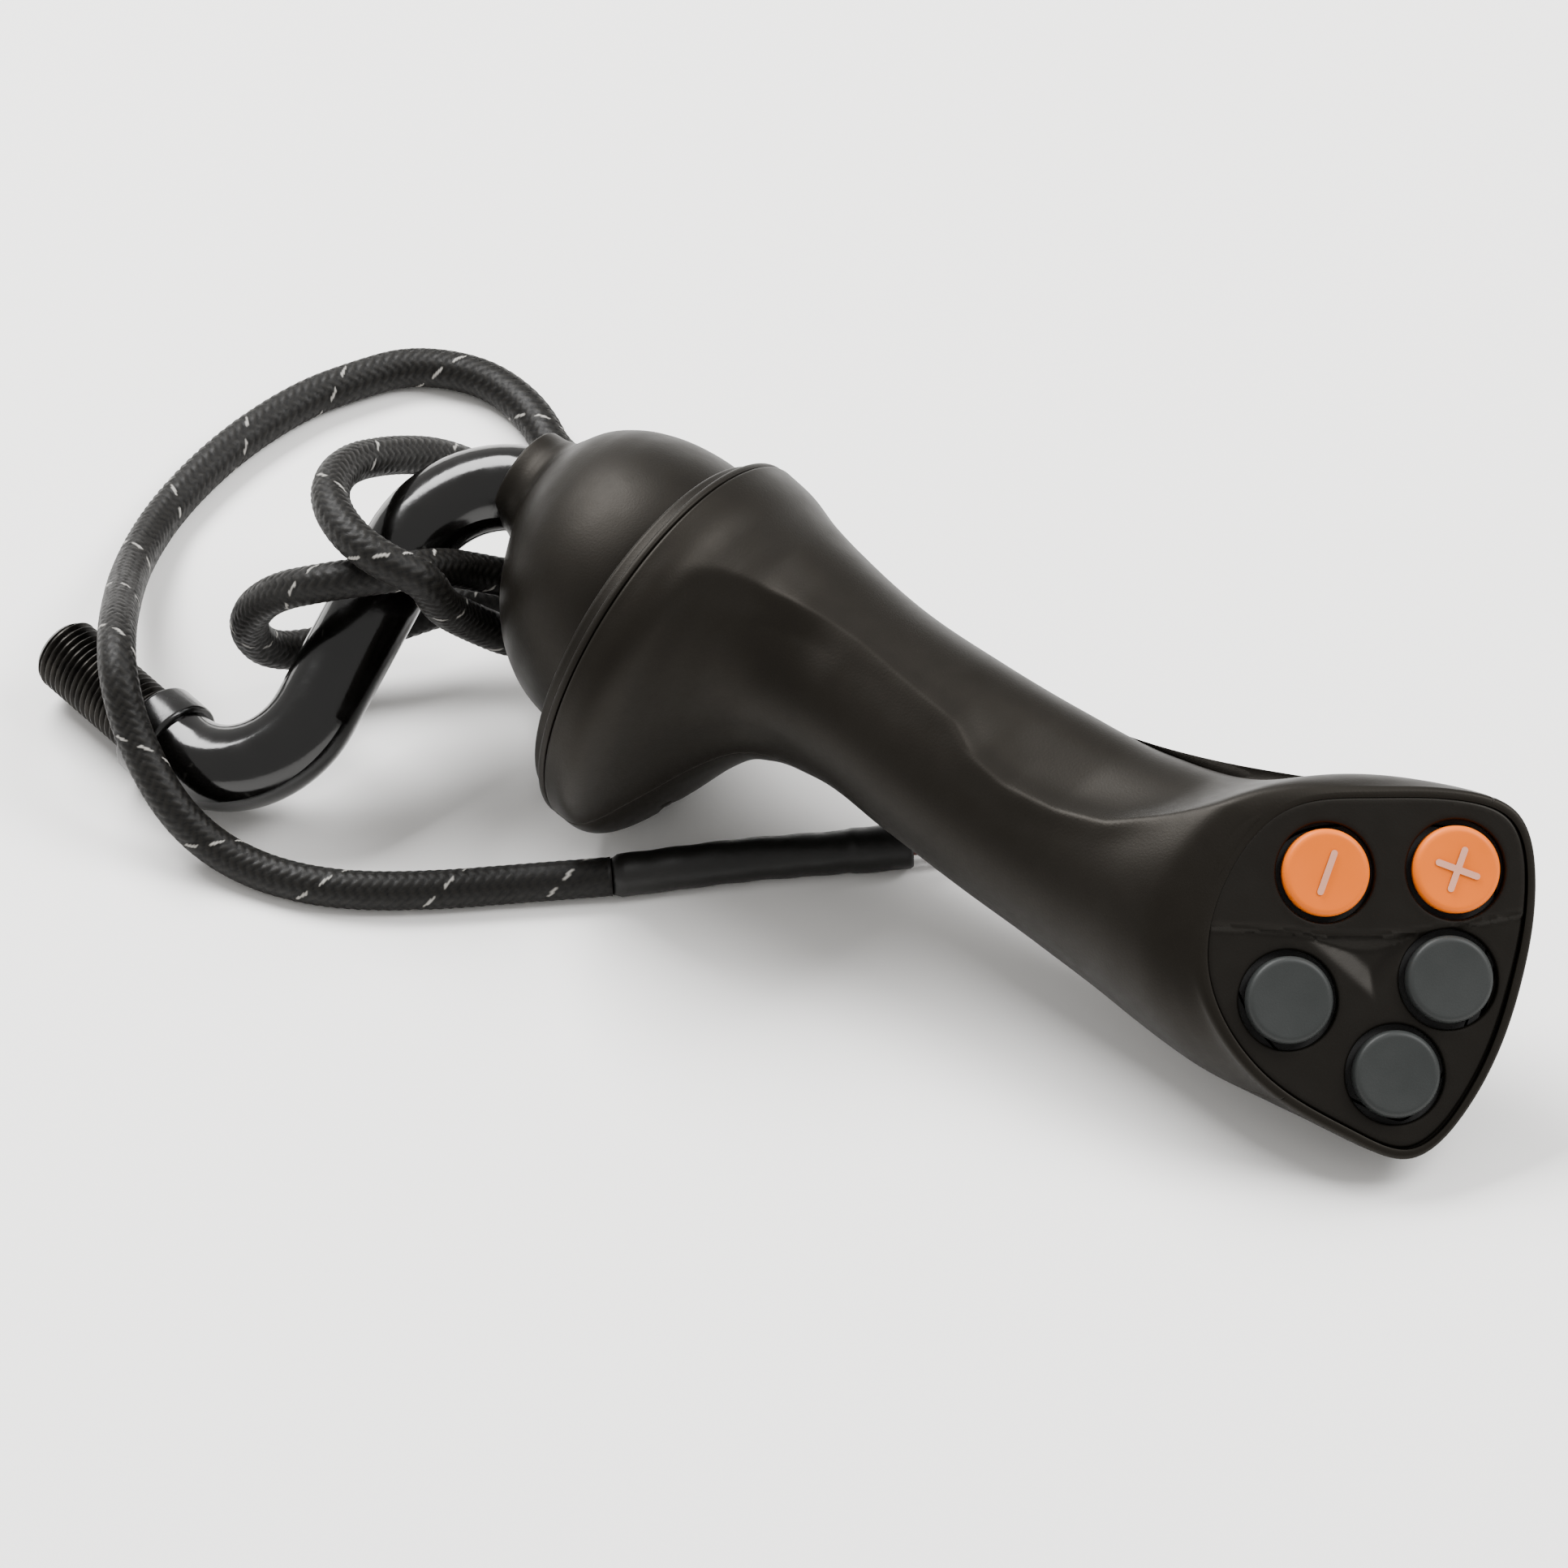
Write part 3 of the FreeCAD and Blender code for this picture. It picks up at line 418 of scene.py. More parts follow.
BRAID_DEPTH = 0.00022


def braid(along, angle):
    """The braid's height from 0 to 1, and 1 where the pale tracer strand is on top."""
    pitch = math.pi * CABLE_DIAMETER
    one = STRANDS * (angle / (2 * math.pi) + along / pitch)
    other = STRANDS * (angle / (2 * math.pi) - along / pitch)
    over = (np.floor(one) + np.floor(other)) % 4 < 2
    across = np.where(over, one, other) % 1.0
    lengthwise = ((np.floor(one) + np.floor(other)) % 2 + np.where(over, other, one) % 1.0) / 2
    strand = 1 - np.abs(2 * across - 1) ** 3
    height = strand * (0.45 + 0.55 * (1 - np.abs(2 * lengthwise - 1) ** 3))
    tracer = over & (np.floor(one) % STRANDS == 0) & (np.abs(across - 0.5) < 0.17)
    return height, tracer


def cable_radius(along, angle):
    """Radius of the cable with its braid, along and round it."""
    return CABLE_DIAMETER / 2 + BRAID_DEPTH * (braid(along, angle)[0] - 0.6)


def add_braid_colours(piece, path, segments):
    """Store the braid's height, which the material turns into painted shade in the braid's gaps,
    and its tracer on the mesh.
    """
    along = path_frames(path)[0]
    angles = np.linspace(0, 2 * math.pi, segments, endpoint=False)
    height, tracer = braid(along[:, None], angles[None, :])
    for name, values in (("yarn_shade", height), ("tracer", tracer)):
        layer = piece.data.attributes.new(name, "FLOAT", "POINT")
        layer.data.foreach_set("value", np.asarray(values, float).ravel())


def path_length(path):
    """Length of a path in metres."""
    return float(np.linalg.norm(np.diff(path, axis=0), axis=1).sum())


def make_cable():
    """The braided cable with its shrink sleeve."""
    first = [GRIP @ (OUTLET + OUTLET_DIRECTION * reach) for reach in (0.0, FIRST_RUN)]
    path = spline_path("cable_line", [tuple(point) for point in first] + CABLE_ROUTE)
    cable = tube("braided_cable", path, cable_radius, 48)
    add_braid_colours(cable, path, 48)
    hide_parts("control_cable")
    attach(cable, "grip")
    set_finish(cable, "cable_braid")
    sleeve_path = spline_path("sleeve_line", SLEEVE_ROUTE)

    def sleeve_radius(along, angle):
        """Radius of the shrink sleeve, wrinkled, with a step near its end."""
        end = path_length(sleeve_path)
        step = 0.00022 * smoothstep(end - 0.0105, end - 0.0090, along)
        nose = 0.0006 * (1 - smoothstep(0.0, 0.0016, along))
        ripple = 0.00006 * np.sin(along * 900 + 2 * np.sin(angle))
        ripple = ripple + 0.00005 * np.sin(3 * angle + along * 160)
        lip = 0.0003 * smoothstep(end - 0.0006, end, along)
        return SLEEVE_DIAMETER / 2 - 0.0001 + step - nose + ripple - lip

    sleeve = tube("shrink_tube", sleeve_path, sleeve_radius, 64)
    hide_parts("shrink_sleeve")
    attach(sleeve, "grip")
    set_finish(sleeve, "shrink_tube")


def make_leads():
    """The four leads at the cable's end, with their ferrules."""
    for colour, route in LEAD_ROUTES.items():
        lead_path = spline_path(f"{colour}_line", route)
        lead = tube(
            f"{colour}_wire", lead_path,
            lambda along, angle: LEAD_DIAMETER / 2 + 0.00001 * np.sin(along * 2600), 24,
        )
        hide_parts(f"{colour}_lead")
        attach(lead, "grip")
        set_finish(lead, f"{colour}_insulation")
        tip = (Vector(route[-1]) - Vector(route[-2])).normalized()
        place = Matrix.Translation(route[-1]) @ tip.to_track_quat("Z", "Y").to_matrix().to_4x4()
        profile = [(0, -0.4), (0.80, -0.4), (0.85, -0.3), (0.85, 0.6), (0.66, 0.9)]
        for height in (1.6, 2.4, 3.2, 4.0, 4.8):
            profile += [(0.66, height - 0.3), (0.58, height - 0.1)]
            profile += [(0.58, height + 0.1), (0.66, height + 0.3)]
        profile += [(0.66, 5.8), (0.6, 6.0), (0, 6.0)]
        ferrule = lathe(f"{colour}_crimp", profile, place, 40)
        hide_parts(f"{colour}_ferrule")
        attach(ferrule, "grip")
        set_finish(ferrule, "ferrule_tin")


make_cable()
make_leads()

# ---------------------------------------------------------------- face outline

FACE_OUTLINE = [
    (-26.5, 0.5),
    (-23.5, 14.8),
    (-13.1, 26.0),
    (0.0, 27.6),
    (14.0, 27.2),
    (22.2, 24.2),
    (24.9, 14.0),
    (22.7, -0.5),
    (14.3, -20.9),
    (5.6, -28.2),
    (-2.6, -25.5),
    (-16.4, -17.2),
]
BUTTONS = {
    "minus": (-7.5, 15.6),
    "plus": (13.6, 16.1),
    "left": (-13.4, -4.7),
    "right": (12.5, -1.4),
    "lower": (3.9, -16.5),
}
RIM_WIDTH = 1.8
FACE_SIDE_SHIFT = 4.5


def hermite(low, high, low_slope, high_slope, span, share):
    """Cubic Hermite value between two knots a span apart."""
    a, b = share, 1 - share
    return (
        low * b * b * (1 + 2 * a)
        + high * a * a * (1 + 2 * b)
        + span * a * b * (low_slope * b - high_slope * a)
    )


def closed_curve(points, count):
    """A closed smooth curve through points, given back as count points."""
    points = np.array(points, float)
    size = len(points)
    following = np.roll(points, -1, axis=0)
    spans = np.linalg.norm(following - points, axis=1)
    rises = (following - points) / spans[:, None]
    matrix = np.zeros((size, size))
    right = np.zeros_like(points)
    for i in range(size):
        before = (i - 1) % size
        after = (i + 1) % size
        matrix[i, before] += 1 / spans[before]
        matrix[i, i] += 2 / spans[before] + 2 / spans[i]
        matrix[i, after] += 1 / spans[i]
        right[i] = 3 * (rises[before] / spans[before] + rises[i] / spans[i])
    slopes = np.linalg.solve(matrix, right)
    knots = np.concatenate([[0], np.cumsum(spans)])
    where = np.arange(count) * knots[-1] / count
    index = np.clip(np.searchsorted(knots, where, side="right") - 1, 0, size - 1)
    share = ((where - knots[index]) / spans[index])[:, None]
    after = (index + 1) % size
    return hermite(
        points[index], points[after], slopes[index], slopes[after], spans[index][:, None], share
    )


OUTLINE = closed_curve(FACE_OUTLINE, 360)


def outline_grown(growth):
    """The face outline moved square to itself; its points run clockwise."""
    ahead = np.roll(OUTLINE, -1, axis=0) - np.roll(OUTLINE, 1, axis=0)
    outward = np.stack([-ahead[:, 1], ahead[:, 0]], axis=1)
    outward /= np.linalg.norm(outward, axis=1)[:, None]
    return OUTLINE + outward * growth


def make_polar():
    """Angle and distance of the outline in the grip's last section."""
    c, s = math.cos(FACE_TURN), math.sin(FACE_TURN)
    along = OUTLINE[:, 0] * c - OUTLINE[:, 1] * s
    across = OUTLINE[:, 0] * s + OUTLINE[:, 1] * c - FACE_SIDE_SHIFT
    angle = np.arctan2(-along, across) % (2 * math.pi)
    order = np.argsort(angle)
    return angle[order], np.hypot(along, across)[order]


POLAR_ANGLE, POLAR_RADIUS = make_polar()


def face_radius(angle):
    """Radius of the face outline at an angle."""
    return np.interp(angle, POLAR_ANGLE, POLAR_RADIUS, period=2 * math.pi)


# ---------------------------------------------------------------- grip surface

# Front point (x, z), rear point (x, z), share of the depth behind the parting line, centre y,
# half width, squareness, and share of the face outline, as in the CAD model.
STATIONS = np.array([
    (0.0, 33.0, 0.0, -33.0, 0.5, 1.0, 33.0, 2.0, 0.0),
    (6.0, 31.6, 6.0, -31.3, 0.5, 1.0, 32.0, 2.0, 0.0),
    (11.0, 26.4, 11.0, -27.2, 0.5, 4.6, 26.7, 2.05, 0.0),
    (15.0, 21.6, 15.0, -23.0, 0.5, 8.0, 22.3, 2.1, 0.0),
    (19.0, 18.6, 19.0, -19.6, 0.5, 10.3, 19.2, 2.15, 0.0),
    (24.0, 16.8, 24.0, -17.2, 0.5, 11.3, 17.3, 2.2, 0.0),
    (32.0, 16.0, 32.0, -16.0, 0.5, 11.6, 16.0, 2.25, 0.0),
    (48.0, 15.5, 48.0, -15.8, 0.5, 11.0, 16.4, 2.25, 0.0),
    (64.0, 15.0, 64.0, -16.3, 0.5, 10.8, 17.3, 2.25, 0.0),
    (79.0, 15.2, 82.0, -17.5, 0.5, 11.3, 18.2, 2.25, 0.03),
    (91.0, 16.0, 103.0, -18.6, 0.5, 13.3, 20.3, 2.25, 0.15),
    (98.5, 16.8, 123.0, -18.6, 0.48, 17.2, 24.4, 2.25, 0.4),
    (102.8, 17.2, 138.5, -16.2, 0.46, 20.7, 27.9, 2.25, 0.75),
    (104.6, 17.3, 148.6, -12.0, 0.46, 22.3, 29.5, 2.25, 0.95),
    (105.0, 17.1, 152.9, -8.0, 0.46, 22.5, 29.8, 2.25, 1.0),
])
FACE_NORMAL = np.array([math.sin(FACE_TILT), 0.0, math.cos(FACE_TILT)])
FACE_CENTRE = np.array(FACE_PLACE) / MM
LIP = 0.8
WALL = 2.4

# The crest that runs down the front of the grip: x, y.
CREST = np.array([
    (0.0, 3.0), (4.0, 7.5), (7.0, 10.3), (10.0, 12.6), (14.0, 14.2), (19.0, 15.4), (25.0, 16.0),
    (31.4, 16.0), (44.3, 14.4), (52.3, 13.7), (58.3, 10.4), (65.7, 9.4), (75.3, 10.5),
    (83.7, 13.0),
    (93.5, 19.8), (102.9, 27.2),
])
# How deep the surface sinks between the crest and the thumb side: x, depth.
SCOOP = np.array([
    (0.0, 0.0), (8.0, 0.6), (14.0, 1.5), (30.0, 1.7), (48.0, 1.8), (60.0, 3.2), (75.0, 3.8),
    (88.0, 3.2), (97.0, 1.6), (105.0, 0.2),
])


def station_at(where):
    """Station values at places given in station numbers, smooth through the listed stations."""
    middles = (STATIONS[:, 0:2] + STATIONS[:, 2:4]) / 2
    knots = np.concatenate([[0], np.cumsum(np.linalg.norm(np.diff(middles, axis=0), axis=1))])
    slopes = np.gradient(STATIONS, knots, axis=0)
    index = np.clip(np.floor(where).astype(int), 0, len(STATIONS) - 2)
    span = (knots[index + 1] - knots[index])[:, None]
    share = (where - index)[:, None]
    return hermite(
        STATIONS[index], STATIONS[index + 1], slopes[index], slopes[index + 1], span, share
    )


def surface(stations, angle, inset):
    """Points of the grip's outside, one row for each station, moved inwards by inset."""
    columns = [stations[:, i:i + 1] for i in range(9)]
    front_x, front_z, rear_x, rear_z, share, centre, width, square, faced = columns
    reach = np.hypot(front_x - rear_x, front_z - rear_z)
    forward_x, forward_z = (front_x - rear_x) / reach, (front_z - rear_z) / reach
    depth = np.where(np.sin(angle) >= 0, reach * (1 - share), reach * share)
    wide = np.abs(np.cos(angle) / width) ** square
    deep = np.abs(np.sin(angle) / depth) ** square
    oval = (wide + deep) ** (-1 / square)
    radius = oval * (1 - faced) + (face_radius(angle) + RIM_WIDTH) * faced - inset
    ahead, across = radius * np.sin(angle), radius * np.cos(angle)
    x = rear_x + (front_x - rear_x) * share + forward_x * ahead
    z = rear_z + (front_z - rear_z) * share + forward_z * ahead
    return np.stack([x, centre + across + 0 * x, z], axis=-1)


# Where the band round the flange ends and the cove begins: angle in degrees, x.
BAND_EDGE = np.array([
    (0, 5.5), (60, 5.8), (75, 6.2), (90, 6.8), (120, 7.6), (150, 8.4), (180, 9.0),
])
# How far the rear half falls short of its plain section between its back and its sides: x, depth.
REAR_FLATS = np.array([
    (30.0, 0.0), (60.0, 0.9), (82.0, 2.0), (103.0, 2.8), (123.0, 2.8), (138.0, 1.4), (149.0, 0.0),
])


def crest_cut(stations, angle):
    """How far the front of the grip is sunk beside its crest and below the flange's band."""
    cut = np.zeros((len(stations), angle.shape[1]))
    plain = surface(stations, angle, 0.0)
    front = angle[0] <= math.pi / 2 + 0.6
    band = np.interp(np.degrees(angle[0]), BAND_EDGE[:, 0], BAND_EDGE[:, 1])
    for i, station in enumerate(stations):
        crest_y = np.interp(station[0], CREST[:, 0], CREST[:, 1])
        turn = np.interp(-crest_y, -plain[i, front, 1], angle[0][front])
        depth = np.interp(station[0], SCOOP[:, 0], SCOOP[:, 1])
        share = angle[0] / turn
        hollow = np.clip(share, 0, 1) ** 1.5 * np.clip(1 - share, 0, None) * 5.4
        edge = np.exp(-((share - 1) * turn * 16 / 2.6) ** 2)
        beyond = station[0] - band
        cove = smoothstep(0.0, 4.5, beyond) * (1 - smoothstep(7.0, 26.0, beyond))
        cove = cove * smoothstep(turn - 0.02, turn + 0.30, angle[0])
        cove = cove * smoothstep(0, 0.5, math.pi - angle[0])
        cut[i] = depth * hollow - 0.14 * depth * edge + 1.5 * cove
    return cut


def rounded(distance, radius):
    """How far a rounded edge of that radius falls back at a distance from the edge."""
    near = np.clip(1 - distance / radius, 0, 1)
    return radius * (1 - np.sqrt(1 - near**2))


def height_on_face(points):
    """Height of a point above the face plane, in millimetres."""
    return (points - FACE_CENTRE) @ FACE_NORMAL


def half_shell(name, start, relief):
    """Half of the grip: outside, lip round the face, inside and parting faces."""
    dense = np.array([0, 0.002, 0.005, 0.009, 0.014, 0.02, 0.028])
    middle = np.linspace(0.04, math.pi - 0.04, 120)
    turn = np.concatenate([dense, middle, math.pi - dense[::-1]])[None, :]
    angles = start + turn
    where = np.concatenate([
        [0, 0.01, 0.025, 0.05, 0.08], np.linspace(0.12, 12, 150), np.linspace(12.03, 14, 60),
    ])
    stations = station_at(where)
    plain = surface(stations, angles, 0.0)
    seam = np.minimum(turn, math.pi - turn) * 20
    sunk = relief(stations, angles)
    edge = (
        rounded(seam, 0.35)
        + rounded(stations[:, 0:1], 0.6)
        + rounded(-height_on_face(plain), LIP)
    )
    outer = surface(stations, angles, sunk + edge)
    mouth = station_at(np.array([14.0]))
    lip = []
    for across, drop in (
        (1.2, 0.0), (1.5, 0.0), (1.62, -0.05), (1.65, -0.15), (1.65, -2.65), (4.25, -2.65),
    ):
        lip.append(surface(mouth, angles, across)[0] + FACE_NORMAL * drop)
    trial = np.linspace(0, 14, 281)
    heights = height_on_face(surface(station_at(trial), angles, WALL))
    ends = np.array([trial[heights[:, j] < -3.6][-1] for j in range(angles.shape[1])])
    inner = np.zeros_like(outer)
    for j in range(angles.shape[1]):
        column = station_at(np.linspace(1, 0, len(where)) * ends[j])
        inner[:, j:j + 1] = surface(column, angles[:, j:j + 1], WALL)
    inner = inner_below(outer, inner, sunk)
    rows = np.concatenate([outer, np.array(lip), inner])
    count, columns = rows.shape[:2]
    faces = grid_faces(count, columns, False)
    last = (count - 1) * columns
    faces += [(last + j, last + j + 1, j + 1, j) for j in range(columns - 1)]
    pairs = len(where)
    for column in (0, columns - 1):
        caps = [[i, i + 1, count - 2 - i, count - 1 - i] for i in range(pairs - 1)]
        caps.append(list(range(pairs - 1, count - pairs + 1)))
        faces += [tuple(i * columns + column for i in cap) for cap in caps]
    shell = mesh_object(name, carry(rows.reshape(-1, 3) * MM, GRIP), faces)
    make_normals(shell)
    return shell


def inner_below(outer, inner, sunk):
    """Move the inside in by as much as the outside is sunk at the same place."""
    moved = inner.copy()
    flipped = inner[::-1]
    for j in range(inner.shape[1]):
        depth = np.interp(flipped[:, j, 0], outer[:, j, 0], sunk[:, j])[::-1]
        centre = np.stack(
            [inner[:, j, 0], np.full(len(inner), 11.0), np.zeros(len(inner))], axis=1
        )
        towards = centre - inner[:, j]
        towards /= np.linalg.norm(towards, axis=1)[:, None]
        moved[:, j] = inner[:, j] + towards * np.clip(depth, 0, None)[:, None]
    return moved


# The shell screws: x, y and the height of each head's seat.
SHELL_SCREWS = [(9.0, 28.2, -5.5), (8.0, -18.5, -14.0), (64.0, 20.5, -9.0), (86.0, 3.0, -10.0)]
WELL_ENDS = [-6.5, -14.9, -10.5, -12.0]
WELL_BORE = 1.4
WELL_RADIUS = 2.7
WELL_OUTSIDE = 3.4


def rear_cut(stations, angle):
    """How far the rear half is sunk between its back and its sides."""
    depth = np.interp(stations[:, 2], REAR_FLATS[:, 0], REAR_FLATS[:, 1])
    return depth[:, None] * np.abs(np.sin(2 * angle)) ** 0.8


def posts(radius, low, ends):
    """Round posts along the grip's Z at the shell screws, in one piece."""
    pieces = []
    for (x, y, _), end in zip(SHELL_SCREWS, ends):
        place = GRIP @ Matrix.Translation((x * MM, y * MM, 0))
        profile = [(0, low), (radius, low), (radius, end), (0, end)]
        pieces.append(lathe("post", profile, place, 48))
    work = bmesh.new()
    for piece in pieces:
        work.from_mesh(piece.data)
    bmesh.ops.recalc_face_normals(work, faces=work.faces)
    work.to_mesh(pieces[0].data)
    work.free()
    for piece in pieces[1:]:
        bpy.data.objects.remove(piece)
    return pieces[0]


def seat_well(well, cover, low):
    """Bring the mouth of a screw well onto the outside of the cover."""
    tree = BVHTree.FromObject(cover, bpy.context.evaluated_depsgraph_get())
    back = GRIP.inverted()
    points = [back @ v.co for v in well.data.vertices]
    centre = sum(points, Vector()) / len(points)
    up = (GRIP.to_3x3() @ Vector((0, 0, 1))).normalized()
    for vertex, point in zip(well.data.vertices, points):
        if abs(point.z - low * MM) > 1e-5:
            continue
        side = Vector((point.x - centre.x, point.y - centre.y, 0)).normalized() * 3.5 * MM
        start = GRIP @ Vector((centre.x + side.x, centre.y + side.y, -0.06))
        hit = tree.ray_cast(start, up)[0]
        if hit is not None:
            point.z = max((back @ hit).z + 0.3 * MM, point.z)
            vertex.co = GRIP @ point


def make_shells():
    """Both halves of the grip; the rear one has a well for each screw."""
    front = half_shell("front_cover", 0.0, crest_cut)
    rear = half_shell("rear_cover", math.pi, rear_cut)
    seats = [seat for _, _, seat in SHELL_SCREWS]
    rear = boolean(rear, posts(WELL_RADIUS, -45, seats), "DIFFERENCE")
    rear.data.shade_smooth()
    rear.data.set_sharp_from_angle(angle=math.radians(40))
    for piece, node in ((front, "front_shell"), (rear, "rear_shell")):
        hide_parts(node)
        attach(piece, "grip")
        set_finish(piece, "grip_plastic")
    for i, (x, y, seat) in enumerate(SHELL_SCREWS):
        low = WELL_ENDS[i]
        top = seat + 2
        profile = [
            (WELL_BORE, seat), (WELL_RADIUS, seat), (WELL_RADIUS, low),
            (WELL_OUTSIDE, low), (WELL_OUTSIDE, top), (WELL_BORE, top),
        ]
        place = GRIP @ Matrix.Translation((x * MM, y * MM, 0))
        well = lathe(f"screw_well_{i + 1}", profile, place, 64)
        seat_well(well, rear, low)
        make_normals(well)
        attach(well, "grip")
        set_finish(well, "grip_plastic")


def make_normals(piece):
    """Face normals to the outside, and hard shading at the sharp edges."""
    work = bmesh.new()
    work.from_mesh(piece.data)
    bmesh.ops.recalc_face_normals(work, faces=work.faces)
    work.to_mesh(piece.data)
    work.free()
    piece.data.shade_smooth()
    piece.data.set_sharp_from_angle(angle=math.radians(40))


make_shells()

# ---------------------------------------------------------------- face plate

CREASE = np.array([
    (-27.0, 7.0), (-24.1, 6.9), (-13.7, 6.3), (-7.6, 5.6), (0.1, 5.5), (7.9, 6.1),
    (15.7, 7.5), (24.0, 8.9),
    (27.0, 9.4),
])
FACE_THICKNESS = 2.5
HOLE_RADIUS = 8.0


def face_height(x, y):
    """The face's relief: a step along the crease, and a thumb dish below it."""
    below = np.interp(x, CREASE[:, 0], CREASE[:, 1]) - y
    step = -0.55 * smoothstep(0.0, 0.7, below)
    bead = 0.10 * np.exp(-((below + 0.25) / 0.35) ** 2)
    left = (x + 11.5) * 0.66 + (y - 5.5) * 0.75
    right = (8.5 - x) * 0.80 + (y - 5.5) * 0.60
    inside = np.minimum(np.minimum(left, right), below * 1.6)
    dish = -1.25 * smoothstep(0.0, 4.2, inside)
    tilt = -0.35 * smoothstep(0.0, 30.0, below)
    return step + bead + dish + tilt


def ring_points(centre, radius, count):
    """Points of a circle on the face."""
    turn = np.linspace(0, 2 * math.pi, count, endpoint=False)
    return np.stack([centre[0] + radius * np.cos(turn), centre[1] + radius * np.sin(turn)], axis=1)


def inside_outline(points, outline):
    """Whether each point lies inside a closed outline, by counting crossings."""
    following = np.roll(outline, -1, axis=0)
    result = np.zeros(len(points), bool)
    for (x1, y1), (x2, y2) in zip(outline, following):
        crosses = (y1 > points[:, 1]) != (y2 > points[:, 1])
        rise = y2 - y1 if abs(y2 - y1) > 1e-9 else 1e-9
        result ^= crosses & (points[:, 0] < (x2 - x1) * (points[:, 1] - y1) / rise + x1)
    return result


def make_face_plate():
    """The plate that carries the buttons, with rounded edges, five holes and the relief."""
    edge_steps = [(0.45, 0.0), (0.22, -0.06), (0.07, -0.2), (0.0, -0.45), (0.0, None)]
    loops = [[outline_grown(-inset) for inset, drop in edge_steps]]
    for centre in BUTTONS.values():
        loops.append([ring_points(centre, HOLE_RADIUS + inset, 96) for inset, drop in edge_steps])
    border = [loop[0] for loop in loops]
    grid_x, grid_y = np.meshgrid(np.arange(-27, 26, 0.5), np.arange(-29, 29, 0.5))
    grid = np.stack([grid_x.ravel(), grid_y.ravel()], axis=1)
    keep = inside_outline(grid, outline_grown(-0.8))
    for centre in BUTTONS.values():
        keep &= np.hypot(*(grid - centre).T) > HOLE_RADIUS + 0.8
    points = np.concatenate(border + [grid[keep]])
    edges = []
    start = 0
    for ring in border:
        edges += [(start + i, start + (i + 1) % len(ring)) for i in range(len(ring))]
        start += len(ring)
    result = delaunay_2d_cdt([Vector(p) for p in points], edges, [], 0, 1e-6)
    flat = np.array([tuple(v) for v in result[0]])
    triangles = np.array([tuple(t) for t in result[2]])
    middles = flat[triangles].mean(axis=1)
    keep = inside_outline(middles, border[0])
    for centre in BUTTONS.values():
        keep &= np.hypot(*(middles - centre).T) > HOLE_RADIUS + 0.44
    triangles = triangles[keep]
    count = len(flat)
    top = np.column_stack([flat, face_height(flat[:, 0], flat[:, 1])])
    under = np.column_stack([flat, np.full(count, -FACE_THICKNESS)])
    verts = [top, under]
    faces = [tuple(t) for t in triangles] + [tuple(t[::-1] + count) for t in triangles]
    total = 2 * count
    start = 0
    for loop in loops:
        size = len(loop[0])
        previous = list(range(start, start + size))
        for ring, (inset, drop) in list(zip(loop, edge_steps))[1:]:
            height = -FACE_THICKNESS
            if drop is not None:
                height = face_height(ring[:, 0], ring[:, 1]) + drop
            verts.append(np.column_stack([ring, np.zeros(size) + height]))
            current = list(range(total, total + size))
            total += size
            faces += [
                (previous[i], previous[(i + 1) % size], current[(i + 1) % size], current[i])
                for i in range(size)
            ]
            previous = current
        faces += [
            (
                previous[i], previous[(i + 1) % size],
                count + start + (i + 1) % size, count + start + i,
            )
            for i in range(size)
        ]
        start += size
    plate = mesh_object("face_cover", carry(np.concatenate(verts) * MM, FACE), faces)
    make_normals(plate)
    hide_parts("button_face")
    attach(plate, "grip")
    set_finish(plate, "face_plastic")


make_face_plate()

# ---------------------------------------------------------------- buttons


def make_buttons():
    """Each cap: a crowned top, a rounded rim and a straight skirt."""
    profile = [(0, 1.72)]
    profile += [(radius, 1.72 + 0.18 * (radius / 5.9) ** 2) for radius in (1, 2, 3, 4, 5, 5.5)]
    profile += corner((6.0, 0.93), 0.97, 96, 8, 8)
    profile += [(7.0, 0.6), (7.0, -1.4), (6.9, -1.5), (0, -1.5)]
    for name, (x, y) in BUTTONS.items():
        place = FACE @ Matrix.Translation((x * MM, y * MM, 0))
        cap = lathe(f"{name}_cap", profile[::-1], place, 128)
        make_normals(cap)
        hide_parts(f"{name}_button")
        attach(cap, f"{name}_key")
        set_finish(cap, "orange_caps" if name in ("minus", "plus") else "grey_caps")


make_buttons()

# ---------------------------------------------------------------- base

CAP_SECTIONS = np.array([
    (-3.6, 4.8, 24.6),
    (-6.0, 4.9, 25.0),
    (-12.0, 5.2, 24.8),
    (-18.0, 5.9, 23.1),
    (-23.0, 6.9, 20.2),
    (-27.0, 8.1, 16.3),
    (-29.6, 9.1, 12.4),
    (-31.0, 9.8, 10.2),
    (-33.0, 10.2, 9.0),
    (-36.5, 10.3, 8.6),
])


def cap_ring(depth, inset, segments):
    """One ring of the base cap at a depth along the neck axis."""
    knots = -CAP_SECTIONS[:, 0]
    slopes = np.gradient(CAP_SECTIONS, knots, axis=0)
    i = int(np.clip(np.searchsorted(knots, depth, side="right") - 1, 0, len(knots) - 2))
    span = knots[i + 1] - knots[i]
    values = hermite(
        CAP_SECTIONS[i], CAP_SECTIONS[i + 1], slopes[i], slopes[i + 1],
        span, (depth - knots[i]) / span,
    )
    turn = np.linspace(0, 2 * math.pi, segments, endpoint=False)
    radius = values[2] - inset
    return np.stack(
        [np.full(segments, -depth), values[1] + radius * np.cos(turn), radius * np.sin(turn)],
        axis=1,
    )


